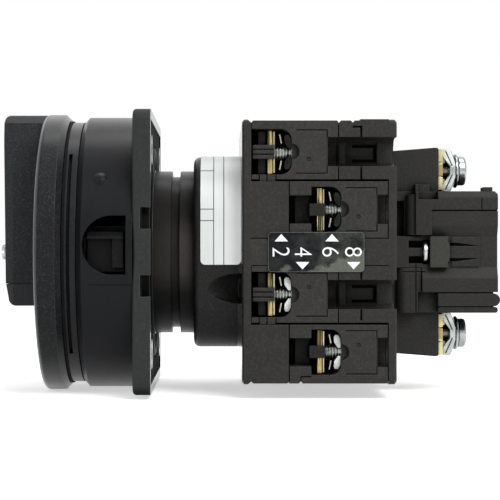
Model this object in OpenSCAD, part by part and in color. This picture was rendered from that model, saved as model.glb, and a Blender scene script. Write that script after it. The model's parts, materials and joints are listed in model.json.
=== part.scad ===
// Rotary maintenance switch with a padlockable thumb grip.
// Millimetres. X runs along the switch, from the handle at -X to the rear terminals at +X.
// The origin is on the turning axis, in the plane where the panel plate meets the panel.
// The near side, with the number plate, faces -Y.

/* [Panel plate] */
// How far the plate's edge lies outside the round housing, less than 0 for inside
plate_margin = -0.3; // [-0.8:0.1:4]
// Thickness of the plate, front to back
plate_t = 4.2; // [3.8:0.1:6]
// Radius of the plate's corners
plate_corner_r = 2.6; // [1.2:0.2:6]
// Rounding of the plate's front edge
plate_edge_r = 0.9; // [0.3:0.1:1.5]
// Depth of the hollow behind the plate
plate_hollow = 2.4; // [1.6:0.1:2.6]
// Width of the rim round the hollow
plate_rim = 2.2; // [1.4:0.1:3]
// Spacing of the rails across the hollow
rail_pitch = 6.4; // [5:0.2:9]
// Height of each notch in the plate's sides
notch_h = 5.1; // [3:0.1:7]
// Distance of each notch from the middle
notch_z = 7.85; // [6:0.05:14]
// Spacing of the four panel screws
panel_screw_pitch = 48; // [46:0.5:52]
// Radius of the panel screws' pilot holes
panel_screw_r = 1.7; // [1.2:0.1:2.4]

/* [Round housing] */
// Outer radius of the round housing
housing_r = 33.4; // [32:0.1:40]
// Length of the round housing in front of the plate
housing_len = 13.2; // [12:0.1:20]
// Thickness of its side wall
housing_wall = 2.2; // [1.6:0.1:2.6]
// Thickness of its front wall
housing_front_t = 2.1; // [1.5:0.1:3]
// Radial size of the front chamfer
housing_chamfer = 1.5; // [0.8:0.1:3]
// Height of the D-shaped window
window_h = 13.6; // [10:0.1:15]
// Width of the window along the axis
window_w = 10.1; // [8:0.1:10.4]
// Height of the window's middle above the axis
window_z = 1.6; // [-3:0.1:3]
// Travel of the release latch when pressed
latch_travel = 1.5; // [0.5:0.1:2]
// How far the index ring's edge lies inside the housing's
index_inset = 1.2; // [0.9:0.1:3]
// Thickness of the index ring
index_ring_t = 2.75; // [2.4:0.05:3.6]

/* [Handle] */
// How far the handle disc's rim lies outside the round housing
disc_margin = 0.7; // [0:0.1:3]
// Thickness of the disc at its rim
disc_t = 6.2; // [5:0.1:9]
// Rounding of the disc's front edge
disc_edge_r = 1.2; // [0.5:0.1:2]
// Chamfer on the disc's back edge
disc_chamfer = 1.3; // [0.5:0.1:2]
// Radius of the disc's hub
hub_r = 11.95; // [10:0.05:13]
// Height of the grip above the disc
grip_h = 9.5; // [8.5:0.1:16]
// Width of the grip
grip_w = 17; // [16.4:0.2:24]
// Distance from the axis to the seam between grip and padlock slide
grip_below = 7.85; // [7:0.05:12]
// How far the grip screw's head stands out
screw_proud = 1.9; // [0.5:0.1:2.5]
// Slope of the grip's front face from end to end
grip_slope = 0.5; // [0:0.1:1]
// Length of the padlock slide's visible end
slide_end_len = 5.3; // [4:0.1:8]
// Travel of the padlock slide
slide_travel = 14; // [8:0.5:15]
// Width between the slide's two legs, for the shackle
shackle_w = 8.6; // [8:0.2:9.2]
// Width of one leg of the slide
leg_w = 2.7; // [1.5:0.1:2.8]
// Length of the legs behind the seam
leg_len = 20; // [17:0.5:24]

/* [Drive] */
// Width across the flats of the square shaft
shaft_w = 6; // [5:0.1:7]
// Radius of the cams' round journals
journal_r = 8; // [6.5:0.1:8.6]
// Cam radius with the contacts closed
cam_low_r = 9; // [8.9:0.05:9.4]
// Opening travel of the contacts over a quarter turn
contact_lift = 2.4; // [1:0.1:2.6]
// Thickness of a cam and of a plunger
cam_t = 5; // [3:0.1:5.4]
// Width across the flats of the detent wheel
detent_w = 20; // [16:0.5:21]
// Radial clearance of round running fits
running_gap = 0.06; // [0.02:0.01:0.1]
// Clearance beside parts that slide
slide_gap = 0.12; // [0.05:0.01:0.3]

/* [Neck and collar] */
// Radius of the neck's two rings
neck_r = 20.1; // [18:0.1:20.4]
// Length of the first ring
neck_ring_1 = 4.2; // [3:0.1:8]
// Width of the groove between the rings
neck_groove_w = 2.1; // [1:0.1:3]
// Depth of that groove
neck_groove_d = 1.4; // [0.5:0.1:2]
// Length of the second ring
neck_ring_2 = 3.4; // [2:0.1:5]
// Width and height of the collar
collar_w = 46; // [44:0.2:48]
// Radius of the collar's corners
collar_corner_r = 12.5; // [8:0.5:16]
// Length of the collar
collar_len = 11.4; // [10.4:0.1:14]
// Rounding of the collar's front edge
collar_edge_r = 1.5; // [0.5:0.1:2]
// Thickness of the rating label
label_t = 0.2; // [0.1:0.05:0.4]

/* [Contact block] */
// Width and height of the square contact block
block_w = 61.4; // [60:0.2:66]
// Thickness of the front flange
flange_t = 2.1; // [1.5:0.1:4]
// Depth of one stage along the axis
stage_pitch = 11.5; // [11:0.1:14]
// Distance between neighbouring rows of terminals
row_pitch = 13.35; // [13:0.05:14]
// Height of a terminal opening
opening_h = 10.6; // [10.4:0.1:11.4]
// Depth of a terminal opening from the face
opening_d = 12.2; // [11.6:0.1:12.8]
// Distance from the face to a terminal screw's axis
screw_depth = 5.2; // [5:0.1:5.5]
// Radius of the screwdriver channels
driver_r = 3.4; // [3:0.1:3.6]
// Clearance between neighbouring mouldings
seam = 0.12; // [0.05:0.01:0.25]
// Width of the open gap between neighbouring rows of terminals
row_gap = 0.5; // [0.3:0.05:1.1]
// Thickness of the rear cover's end strip
rear_strip_t = 1.9; // [1.5:0.1:3]
// Width of the number plate
number_plate_w = 22.2; // [16:0.1:28]
// Height of the number plate
number_plate_h = 9.2; // [6:0.1:11]

/* [Terminals] */
// Radius of the terminal screws' thread
screw_r = 2; // [1.5:0.1:2.2]
// Radius of the rear terminal screws' heads
screw_head_r = 3.6; // [3.2:0.1:4]
// Width of a terminal bar's clamp end
bar_w = 10; // [8:0.1:10.2]
// Thickness of a terminal bar
bar_t = 1.1; // [1:0.1:1.4]

/* [Rear block] */
// Height of the rear block
rear_h = 29.3; // [27:0.1:34]
// Depth of the rear block, near side to far side
rear_d = 30; // [28:0.5:33]
// Length of the rear block behind the contact block
rear_len = 26; // [24:0.1:32]
// Length of the two wings
wing_len = 12.3; // [11:0.1:14]
// Reach of the wings from the axis at their outer end
wing_reach = 25.4; // [25.2:0.1:28]
// Width of the wings
wing_w = 21; // [16:0.5:26]
// Height of the rear terminal screws' axes above the axis
rear_screw_z = 20.2; // [19.8:0.1:21]

/* [Hidden] */
$fn = 48;
eps = 0.01;

// What follows the round housing's radius
plate_w = 2 * (housing_r + plate_margin);
disc_r = housing_r + disc_margin;
index_ring_r = housing_r - index_inset;
ring_in_r = housing_r - 7.4;

// Stations along the axis, from the handle to the rear
tower_lead = 2.7;
housing_x = -plate_t - housing_len;
ring_x = housing_x - index_ring_t;
seal_t = 0.5;
seal_x = ring_x - seal_t;
disc_back_x = seal_x - slide_gap;
disc_x = disc_back_x - disc_t;
grip_x = disc_x - grip_h;
neck_x = neck_ring_1 + neck_groove_w + neck_ring_2;
flange_x = neck_x + collar_len;
stage_1_x = flange_x + flange_t;
stage_2_x = stage_1_x + stage_pitch;
cover_x = stage_2_x + stage_pitch;
// Towers are two stages long, so the screws of the first stage can be reached past the second
tower_1_x = stage_1_x - tower_lead;
tower_2_x = tower_1_x + stage_pitch;
strip_x = tower_2_x + 2 * stage_pitch;
block_end_x = strip_x + rear_strip_t;
rear_end_x = block_end_x + rear_len;
wing_x = block_end_x + wing_len;

// Contact block
half = block_w / 2;
zone_y = 16;
cavity_y = 14.6;
cavity_z = half - 2.1;
stage_wall = 2;
row_in = row_pitch * 0.738;
row_out = row_in + row_pitch;
row_half = row_pitch / 2;
screw_y = half - screw_depth;
opening_right = 12.1;
opening_round = 2.6;
wire_slot_h = 6.6;
block_lead = 5.1;
bar_lead = 6.6;
channel_lead = 20.4;

// Contacts, measured outwards from the axis
cam_high_r = cam_low_r + contact_lift;
cam_lead = stage_wall + 1.3;
contact_lead = tower_lead + cam_lead + cam_t / 2;
nose_r = 1.5;
nose_gap = 0.15;
plunger_w = 6;
tip_t = 0.8;
tip_r = 2;
tip_y = 10.3;
bar_foot_z = 14.6;
bar_foot_t = 1.6;
fixed_tip_z = bar_foot_z + bar_foot_t + tip_t;
contact_close_gap = 0.1;
bridge_z = fixed_tip_z + contact_close_gap + tip_t + contact_lift;
bridge_t = 1.4;
bridge_y = 13;
stem_r = 1.5;

// Sleeve, bush and nut
sleeve_r = 9;
spigot_r = 12;
nut_r = 15;
nut_t = 4;
gasket_in_r = neck_r + 0.2;
gasket_out_r = gasket_in_r + 5.7;
circlip_t = 1.1;
circlip_r = 14.4;
circlip_in_r = hub_r - 1;

// Release latch behind the window
window_x = housing_x + 1.6;
latch_ledge_y = housing_r - 1.9;
latch_rib_y = housing_r - 2.9;
latch_face_y = housing_r - 6.4;
latch_back_y = housing_r - 11.4;
latch_x0 = window_x + 0.8;
latch_x1 = window_x + window_w - 0.7;
latch_half_h = 4.7;
guide_back_y = nut_r + 2;
guide_wall = 1.4;
guide_x0 = housing_x + housing_front_t + seam;

// Padlock slide
slide_y0 = shackle_w / 2;
slide_y1 = slide_y0 + leg_w;
leg_x0 = disc_x - 6.4;
leg_x1 = disc_x - 3.2;
grip_screw_r = 1.45;
grip_head_r = 1.9;
shaft_front_x = disc_x - 2.6;

// A profile of [radius, x] points turned round the axis
module turned(points, faces = 96) rotate([0, 90, 0]) rotate_extrude($fn = faces) polygon(points);

// A round bar along the axis
module rod(x0, x1, r) translate([x0, 0, 0]) rotate([0, 90, 0]) cylinder(h = x1 - x0, r = r);

// A ring round the axis
module ring(x0, x1, r_in, r_out) difference() {
    rod(x0, x1, r_out);
    rod(x0 - eps, x1 + eps, r_in);
}

// A plane shape, drawn with Y to the right and Z up, extruded along the axis
module along_x(x0, x1) translate([x0, 0, 0]) rotate([90, 0, 90]) linear_extrude(x1 - x0) children();

// A plane shape, drawn with X to the right and Z up, extruded along Y
module along_y(y0, y1) translate([0, y1, 0]) rotate([90, 0, 0]) linear_extrude(y1 - y0) children();

// A box given by its ranges
module span(x, y, z) translate([x[0], y[0], z[0]]) cube([x[1] - x[0], y[1] - y[0], z[1] - z[0]]);

// A copy turned half a turn, for what the far side repeats
module both_sides() for (turn = [0, 180]) rotate([turn, 0, 0]) children();

// The second stage is the first one mirrored top to bottom
module mirrored_if(flip) mirror([0, 0, flip ? 1 : 0]) children();

// A rectangle with round corners
module rounded(w, h, r) union() {
    square([w - 2 * r, h], center = true);
    square([w, h - 2 * r], center = true);
    for (y = [-1, 1], z = [-1, 1]) translate([y * (w / 2 - r), z * (h / 2 - r)]) circle(r);
}

// Points of a quarter round from one angle to another
function arc(cx, cy, r, a0, a1, steps = 6) =
    [for (i = [0:steps]) let (a = a0 + (a1 - a0) * i / steps) [cx + r * cos(a), cy + r * sin(a)]];

// A helical spring that stands on Z = 0
coil_steps = 10;
coil_sides = 5;
function coil_ring(r, wire, a, z) = [for (j = [0:coil_sides - 1]) let (b = 360 * j / coil_sides)
    [(r + wire * cos(b)) * cos(a), (r + wire * cos(b)) * sin(a), z + wire * sin(b)]];
module coil(r, wire, height, turns) {
    rings = coil_steps * turns;
    rise = height - 2 * wire;
    points = [for (i = [0:rings]) each coil_ring(r, wire, 360 * i / coil_steps, wire + rise * i / rings)];
    sides = [for (i = [0:rings - 1], j = [0:coil_sides - 1]) let (k = (j + 1) % coil_sides)
        each [[i * coil_sides + j, (i + 1) * coil_sides + j, (i + 1) * coil_sides + k],
            [i * coil_sides + j, (i + 1) * coil_sides + k, i * coil_sides + k]]];
    ends = [[for (j = [0:coil_sides - 1]) j],
        [for (j = [coil_sides - 1:-1:0]) rings * coil_sides + j]];
    polyhedron(points, concat(sides, ends));
}

// The thumb grip, seen from the side: a bar whose upper end follows the rim of the disc
grip_edge_r = 1.6;
module grip_side() polygon(concat(
    [[disc_x, -grip_below + slide_gap], [disc_x, disc_r]],
    arc(grip_x - grip_slope + grip_edge_r, disc_r - grip_edge_r, grip_edge_r, 90, 180),
    [[grip_x, -grip_below + slide_gap]]));
module grip_front(w, z_low) hull() {
    translate([0, z_low + 0.5]) square([w, 1], center = true);
    translate([0, disc_r - w / 2]) circle(w / 2, $fn = 32);
    translate([0, disc_r - 3]) square([w * 0.86, 1], center = true);
}
module grip() color("#2b2d2f") difference() {
    intersection() {
        along_y(-grip_w, grip_w) grip_side();
        hull() {
            along_x(disc_x - grip_h + 1.8, disc_x) grip_front(grip_w, -grip_below - 2);
            along_x(grip_x - 2, disc_x) grip_front(grip_w - 2.4, -grip_below - 2);
        }
        rod(grip_x - 2, disc_x, disc_r - 0.15);
    }
    for (s = [-1, 1]) span([leg_x0 - slide_gap, leg_x1 + slide_gap],
        s > 0 ? [slide_y0 - slide_gap, slide_y1 + slide_gap] : [-slide_y1 - slide_gap, -slide_y0 + slide_gap],
        [-grip_below - 1, leg_len - grip_below + 0.4]);
    along_x(shaft_front_x - 0.1, disc_x + 1) square(shaft_w + 2 * slide_gap, center = true);
    rod(grip_x - 2, shaft_front_x, grip_screw_r + slide_gap);
    rod(grip_x - 2, grip_x + 1.1, grip_head_r + slide_gap);
}

// The padlock slide: an end piece with two legs that straddle the grip screw
slide_corner_r = 1.9;
slide_lean = 0.7;
slide_end_z = -grip_below - slide_end_len;
module slide_side() polygon(concat(
    [[disc_x - slide_gap, -grip_below], [grip_x + 0.05, -grip_below]],
    arc(grip_x + slide_lean + slide_corner_r, slide_end_z + slide_corner_r, slide_corner_r, 180, 270, 8),
    [[disc_x - slide_gap, slide_end_z]]));
module lock_slide() color("#26282b") union() {
    intersection() {
        along_y(-grip_w, grip_w) slide_side();
        hull() {
            along_x(grip_x + 1.8, disc_x) square([grip_w, 60], center = true);
            along_x(grip_x - 1, disc_x) square([grip_w - 2.6, 60], center = true);
        }
    }
    for (s = [-1, 1]) span([leg_x0, leg_x1], s > 0 ? [slide_y0, slide_y1] : [-slide_y1, -slide_y0],
        [-grip_below - 1, leg_len - grip_below]);
}

module grip_screw() color("#c9ced2") difference() {
    union() {
        turned(concat([[0, grip_x + 1.1], [grip_head_r, grip_x + 1.1]],
            arc(grip_head_r - 0.6, grip_x - screw_proud + 0.6, 0.6, 0, -90, 4), [[0, grip_x - screw_proud]]));
        rod(grip_x + 1, shaft_front_x + 7, grip_screw_r);
    }
    span([grip_x - screw_proud - 1, grip_x - screw_proud + 0.7], [-3, 3], [-0.35, 0.35]);
}

// The disc is hollow behind, with a rim, eight ribs and a hub that runs in the round housing
pocket_in_r = hub_r + 3;
pocket_out_r = disc_r - 3.6;
pocket_d = disc_t - 2.4;
circlip_x = housing_x + housing_front_t + 0.1;
hub_end_x = circlip_x + circlip_t + 1.1;
module handle_disc() color("#2b2d2f") difference() {
    union() {
        difference() {
            turned(concat([[0, disc_x]],
                arc(disc_r - disc_edge_r, disc_x + disc_edge_r, disc_edge_r, -90, 0),
                [[disc_r, disc_back_x - disc_chamfer], [disc_r - disc_chamfer, disc_back_x],
                    [0, disc_back_x]]));
            ring(disc_back_x - pocket_d, disc_back_x + 1, pocket_in_r, pocket_out_r);
        }
        rod(disc_back_x - 1, hub_end_x, hub_r);
        for (a = [0:45:315]) rotate([a, 0, 0])
            span([disc_back_x - pocket_d - 0.5, disc_back_x - 0.6], [-0.7, 0.7],
                [pocket_in_r - 0.5, pocket_out_r + 0.5]);
    }
    along_x(disc_x - 1, hub_end_x + 1) square(shaft_w + 2 * slide_gap, center = true);
    ring(circlip_x - 0.02, circlip_x + circlip_t + 0.02, circlip_in_r, hub_r + 1);
}

module hub_circlip() color("#8f9498") difference() {
    ring(circlip_x, circlip_x + circlip_t, circlip_in_r + 0.04, circlip_r);
    span([housing_x, 0], [-2.5, 2.5], [0, circlip_r + 1]);
}

module drive_shaft() color("#9a9ea1") difference() {
    along_x(shaft_front_x, strip_x - 1) square(shaft_w, center = true);
    rod(shaft_front_x - 1, shaft_front_x + 7.3, grip_screw_r + 0.04);
}

module seal_washer() color("#141516") ring(seal_x, ring_x, ring_in_r + 3, disc_r - disc_chamfer - 0.3);

// The index ring has a thin slot on the near and far sides
index_slot_h = 47;
module index_ring() color("#3a3c40") difference() {
    ring(ring_x, housing_x, ring_in_r, index_ring_r);
    both_sides() intersection() {
        ring(ring_x + 0.6, ring_x + 1.4, index_ring_r - 1.2, index_ring_r + 1);
        span([ring_x, housing_x], [-disc_r, 0], [-index_slot_h / 2 - 0.5, index_slot_h / 2 - 0.5]);
    }
}

// The round housing is a shell with a D-shaped window over the release latch
window_r = window_h / 2;
bump_z = 17;
bump_r = 1.75;
// Height of the fine parting line below the window
split_z = window_h / 2 - window_z + 2.4;
module window_shape() intersection() {
    union() {
        translate([window_x + window_r, window_z]) circle(window_r);
        translate([window_x + window_r, window_z - window_r]) square([window_w, window_h]);
    }
    translate([window_x, window_z - window_r]) square([window_w, window_h]);
}
module round_housing() color("#2e3034") union() {
    difference() {
        turned([
            [hub_r + running_gap, housing_x], [housing_r - housing_chamfer, housing_x],
            [housing_r, housing_x + housing_chamfer - 0.1], [housing_r, -plate_t],
            [housing_r - housing_wall, -plate_t], [housing_r - housing_wall, housing_x + housing_front_t],
            [hub_r + running_gap, housing_x + housing_front_t]
        ]);
        along_y(-housing_r - 1, -housing_r * 0.8) window_shape();
        both_sides() span([window_x + 1.5, -plate_t + 1],
            [-housing_r - 1, -sqrt(housing_r ^ 2 - split_z ^ 2) + 0.12],
            [-split_z - 0.1, -split_z + 0.1]);
        for (a = [45:90:315]) rotate([a, 0, 0])
            translate([housing_x - 0.4, 0, ring_in_r - 3]) rotate([0, 90, 0]) cylinder(h = 1, r = 1.5);
    }
    rotate([acos(bump_z / housing_r), 0, 0]) translate([window_x + 4, 0, housing_r]) rotate_extrude($fn = 32)
        polygon([[0, -0.8], [bump_r, -0.8], [bump_r, -0.1],
            [bump_r * 0.72, 0.25], [bump_r * 0.36, 0.55], [0, 0.62]]);
}

module window_latch() color("#232528") difference() {
    union() {
        span([latch_x0, latch_x1], [-latch_face_y, -latch_back_y], [-latch_half_h, latch_half_h]);
        // The ledge to press on, and a rib beside the sunk face
        along_x(latch_x0 + 0.3, latch_x1) polygon([
            [-latch_face_y + 1, latch_half_h], [-latch_ledge_y + 0.9, latch_half_h],
            [-latch_ledge_y, latch_half_h - 1.2], [-latch_ledge_y, latch_half_h - 1.6],
            [-latch_face_y + 1, latch_half_h - 1.6]]);
        along_y(-latch_rib_y, -latch_face_y + 1) translate([latch_x1 - 2.5, -3.7])
            square([2.5, latch_half_h + 2.2]);
    }
    translate([(latch_x0 + latch_x1) / 2, -latch_back_y + 1, 0]) rotate([90, 0, 0]) cylinder(h = 3, r = 2.6);
}

latch_spring_len = latch_back_y - guide_back_y + 1.8;
module latch_spring() color("#aab0b4") translate([(latch_x0 + latch_x1) / 2, -guide_back_y, 0])
    rotate([90, 0, 0]) coil(2, 0.25, latch_spring_len, 5);

// The square plate: rounded in front, hollow with rails behind, and a guide for the latch
module plate_slice(x, grow) along_x(x, x + eps)
    rounded(plate_w + 2 * grow, plate_w + 2 * grow, plate_corner_r, $fn = 32);
module plate_solid() hull() {
    for (a = [0:22.5:90])
        plate_slice(-plate_t + plate_edge_r * (1 - sin(a)), -plate_edge_r * (1 - cos(a)));
    plate_slice(-eps, 0);
}
rail_drop = 0.3;
module frame_plate() color("#36383a") difference() {
    union() {
        difference() {
            plate_solid();
            along_x(-plate_hollow, 1) difference() {
                square(plate_w - 2 * plate_rim, center = true);
                circle(gasket_in_r - 0.05);
                for (y = [-1, 1], z = [-1, 1])
                    translate([y * panel_screw_pitch / 2, z * panel_screw_pitch / 2])
                        circle(panel_screw_r + 1.8);
            }
        }
        along_x(-plate_hollow - eps, -rail_drop) difference() {
            for (i = [-4:4]) translate([i * rail_pitch - 0.5, -plate_w / 2 + 1]) square([1, plate_w - 2]);
            circle(gasket_out_r + 0.3);
            for (y = [-1, 1]) translate([y * plate_w, 0]) square(plate_w + 2, center = true);
        }
        span([guide_x0, -plate_t + eps], [-guide_back_y, -guide_back_y + guide_wall],
            [-latch_half_h - guide_wall, latch_half_h + guide_wall]);
        for (s = [-1, 1]) span([guide_x0, -plate_t + eps], [-latch_face_y + 3, -guide_back_y + guide_wall],
            s > 0 ? [latch_half_h + slide_gap, latch_half_h + guide_wall]
                : [-latch_half_h - guide_wall, -latch_half_h - slide_gap]);
    }
    rod(-plate_t - 1, 1, spigot_r + 0.05);
    for (y = [-1, 1], z = [-1, 1]) translate([0, y * panel_screw_pitch / 2, z * panel_screw_pitch / 2])
        rod(-plate_t + 0.9, 1, panel_screw_r);
    for (y = [-1, 1], z = [-1, 1]) span([-plate_hollow, 1],
        y > 0 ? [gasket_out_r - 1.2, plate_w] : [-plate_w, -gasket_out_r + 1.2],
        [z * notch_z - notch_h / 2, z * notch_z + notch_h / 2]);
}

module panel_gasket() color("#8b8f90") turned([
    [gasket_in_r, -plate_hollow], [gasket_out_r, -plate_hollow],
    [gasket_out_r, -0.5], [gasket_out_r - 0.6, 0], [gasket_out_r - 1.6, 0], [gasket_out_r - 2.2, -0.8],
    [gasket_in_r + 0.8, -0.8], [gasket_in_r, -0.5]]);

// The neck bush: spigot, two rings with a groove, and a bore in which the coupling sleeve turns
seal_r = 1;
seal_mid_r = sleeve_r + seal_r + 0.05;
module neck_bush() color("#35302d") difference() {
    union() {
        rod(-plate_t - nut_t, 0.5, spigot_r);
        rod(0, neck_x, neck_r);
    }
    ring(neck_ring_1, neck_ring_1 + neck_groove_w, neck_r - neck_groove_d, neck_r + 1);
    rod(-plate_t - nut_t - 1, neck_x + 1, sleeve_r + running_gap);
    rod(neck_ring_1 - 1.2, neck_ring_1 + 1.2, seal_mid_r + seal_r + 0.02);
}

module shaft_seal() color("#161616") translate([neck_ring_1, 0, 0]) rotate([0, 90, 0])
    rotate_extrude($fn = 64) translate([seal_mid_r, 0]) circle(seal_r, $fn = 24);

module bush_nut() color("#6d7174") difference() {
    translate([-plate_t - nut_t, 0, 0]) rotate([0, 90, 0]) cylinder(h = nut_t, r = nut_r, $fn = 6);
    rod(-plate_t - nut_t - 1, 1, spigot_r + 0.04);
}

sleeve_x0 = -plate_t - nut_t + 0.3;
sleeve_x1 = neck_x + 1.2;
module coupling_sleeve() color("#cfcabd") difference() {
    rod(sleeve_x0, sleeve_x1, sleeve_r);
    along_x(sleeve_x0 - 1, sleeve_x1 + 1) square(shaft_w + 2 * slide_gap, center = true);
}

// The collar is a square with large round corners, its front edge rounded all the way round
collar_half = collar_w / 2;
collar_mid = collar_half - collar_corner_r;
module collar_outline(grow)
    rounded(collar_w + 2 * grow, collar_w + 2 * grow, collar_corner_r + grow, $fn = 96);
function collar_front(side) = arc(side - collar_edge_r, neck_x + collar_edge_r, collar_edge_r, -90, 0);
function swapped(points) = [for (p = points) [p[1], p[0]]];
module collar_slab() along_y(-collar_mid, collar_mid) polygon(swapped(concat(
    [for (p = collar_front(collar_half)) p], [[collar_half, flange_x + eps], [-collar_half, flange_x + eps]],
    [for (i = [len(collar_front(0)) - 1:-1:0]) let (p = collar_front(collar_half)[i]) [-p[0], p[1]]])));
module collar_solid() union() {
    for (y = [-1, 1], z = [-1, 1]) translate([0, y * collar_mid, z * collar_mid])
        turned(concat([[0, neck_x]], collar_front(collar_corner_r),
            [[collar_corner_r, flange_x + eps], [0, flange_x + eps]]));
    collar_slab();
    rotate([90, 0, 0]) collar_slab();
}
// A square plate of the block's size; its outer edge is softened on the side that shows
block_edge = 0.5;
block_corner_r = 1.2;
module block_plate(x0, x1, soft_x0, soft_x1) hull() {
    along_x(x0 + soft_x0, x1 - soft_x1) rounded(block_w, block_w, block_corner_r, $fn = 32);
    along_x(x0, x1) rounded(block_w - 2 * block_edge, block_w - 2 * block_edge,
        block_corner_r - block_edge / 2, $fn = 32);
}

// A cutter along a seam between mouldings, across the top or the bottom edge
module seam_notch(x) for (z = [-half, half]) translate([x, 0, z]) rotate([0, 45, 0])
    cube([1.1, block_w + 2, 1.1], center = true);

// Rows of terminals, in the place of the upper row: one outer and one inner row on each side
module outer_rows() both_sides() translate([0, 0, row_out]) children();
module inner_rows() both_sides() mirror([0, 0, 1]) translate([0, 0, row_in]) children();
module all_rows() {
    outer_rows() children();
    inner_rows() children();
}
// The band of the near face that belongs to a row, from the face in to depth
module band(x0, x1, z0, z1, depth = half - zone_y) span([x0, x1], [-half, -half + depth], [z0, z1]);
// The towers end a little lower than the flange and the cover's rear part
tower_drop = 0.3;
outer_top = half - row_out - tower_drop;
inner_top = row_half - row_gap * 0.4;
inner_low = -row_half + seam;
outer_low = -row_half + row_gap * 0.6;
middle_band = [-row_in + row_half + seam, row_in - row_half - seam];

detent_room_r = 15.5;
collar_wall = 1.5;
tie_y = 18.5;
tie_r = 1.9;
tie_head_r = 3.3;
tie_head_t = 2.2;
leaf_t = 0.5;
leaf_y = 14;
leaf_z = detent_w / 2 + 0.08;
leaf_x0 = neck_x + 3.2;
leaf_x1 = leaf_x0 + 6;
scoop_r = 3.6;
scoop_z = 8.6;
scoop_tilt = 27;
module front_housing() color("#3b3835") difference() {
    union() {
        difference() {
            collar_solid();
            both_sides() translate([flange_x, -collar_half, -scoop_z]) rotate([0, 0, scoop_tilt])
                rod(-30, 1, scoop_r);
        }
        block_plate(flange_x, stage_1_x, block_edge, 0);
        mirrored_if(true) {
            outer_rows() band(stage_1_x - eps, tower_2_x - seam, outer_low, outer_top);
            inner_rows() band(stage_1_x - eps, tower_2_x - seam, inner_low, inner_top);
        }
    }
    rod(neck_x + collar_wall, stage_1_x + 1, detent_room_r);
    rod(neck_x - 1, neck_x + collar_wall + 1, sleeve_r + 0.3);
    for (s = [-1, 1]) span([leaf_x0 - 0.1, stage_1_x + 1], [-leaf_y - 0.1, leaf_y + 0.1],
        s > 0 ? [leaf_z - 0.05, leaf_z + leaf_t + 0.1] : [-leaf_z - leaf_t - 0.1, -leaf_z + 0.05]);
    for (s = [-1, 1]) translate([0, s * tie_y, 0]) rod(neck_x + 2.2, stage_1_x + 1, tie_r + 0.05);
    seam_notch(stage_1_x);
    seam_notch(tower_2_x);
    stage_bar_slots(tower_1_x);
}

// The label starts low on the near face and runs over the upper corner onto the top
label_low = -3;
label_x0 = neck_x + 1.7;
label_x1 = flange_x - 0.1;
module rating_label() color("#d6dde1") intersection() {
    along_x(label_x0, label_x1) difference() {
        collar_outline(label_t);
        collar_outline(0);
        translate([-collar_mid * 0.6, -50]) square(100);
        translate([-50, label_low - 100]) square(100);
    }
    union() {
        along_y(-40, 0) translate([(label_x0 + label_x1) / 2, label_low + 8])
            rounded(label_x1 - label_x0, 16, 1.1);
        span([label_x0, label_x1], [-40, 0], [label_low + 6, 40]);
    }
}

module detent_wheel() color("#d8d3c6") difference() {
    intersection() {
        along_x(sleeve_x1 + 0.3, stage_1_x - 0.4) square(detent_w, center = true);
        rod(sleeve_x1 + 0.2, stage_1_x - 0.3, detent_w * 0.64);
    }
    along_x(sleeve_x1, stage_1_x + 1) square(shaft_w + 2 * slide_gap, center = true);
}

module detent_springs() color("#9fa4a8") for (s = [-1, 1])
    span([leaf_x0, leaf_x1], [-leaf_y, leaf_y],
        s > 0 ? [leaf_z, leaf_z + leaf_t] : [-leaf_z - leaf_t, -leaf_z]);

// What is cut into a terminal tower, in the place of the upper row: x is the tower's own start
module opening_shape(x0, x1) union() {
    translate([x0, -opening_h / 2]) square([x1 - x0 - opening_round, opening_h]);
    translate([x1 - 2 * opening_round, -opening_h / 2 + opening_round])
        square([2 * opening_round, opening_h - 2 * opening_round]);
    for (z = [-1, 1]) translate([x1 - opening_round, z * (opening_h / 2 - opening_round)])
        circle(opening_round);
}
groove_w = 0.3;
groove_d = 0.3;
module tower_cuts(x, wire_slot) {
    start = wire_slot ? block_lead : tower_lead;
    along_y(-half - 1, -half + opening_d) translate([x, 0]) opening_shape(start, opening_right);
    if (wire_slot) span([x - 1, x + block_lead + 1], [-half - 1, -half + 10],
        [-wire_slot_h / 2, wire_slot_h / 2]);
    // Screwdriver way behind the screw, open to the face past the cover panel
    translate([0, -screw_y, 0]) rod(x + opening_right - 1, x + 2 * stage_pitch + 1, driver_r);
    span([x + channel_lead, x + 2 * stage_pitch + 1], [-half - 1, -screw_y], [-driver_r, driver_r]);
    translate([x + opening_right - 0.1, -half + 1.2, 0]) rotate([90, 0, 0]) cylinder(h = 3, r = 1.9);
    // Outline of the cover panel, and its dimple
    for (z = [-1, 1]) span([x + opening_right + 1, x + channel_lead], [-half - 1, -half + groove_d],
        [z * bar_w / 2 - groove_w / 2, z * bar_w / 2 + groove_w / 2]);
    span([x + channel_lead - groove_w, x + channel_lead], [-half - 1, -half + groove_d],
        [-bar_w / 2, bar_w / 2]);
    translate([x + 16, -half + 0.25, -1.7]) rotate([90, 0, 0]) cylinder(h = 2, r = 0.55);
}
// Ribs that split a terminal into two wire entries, and the ledges beside them
module tower_ribs(x) {
    for (i = [-1:1]) span([x + 3.1, x + bar_lead + bar_t + 0.4], [-half + 0.6, -bar_out_y - bar_gap],
        [i * 1.15 - 0.42, i * 1.15 + 0.42]);
    span([x + 3.1, x + bar_lead + bar_t + 0.3], [-half + 1.5, -bar_out_y - bar_gap], [-1.5, 1.5]);
    span([x + 3.1, x + bar_lead - bar_gap], [-half + 1.2, -half + opening_d + 0.2], [-1.5, 1.5]);
    for (z = [-1, 1]) span([x + 4.4, x + 6.1], [-half + 3.5, -half + opening_d + 0.2],
        z > 0 ? [1.4, opening_h / 2 - 0.4] : [-opening_h / 2 + 0.4, -1.4]);
}

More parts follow.
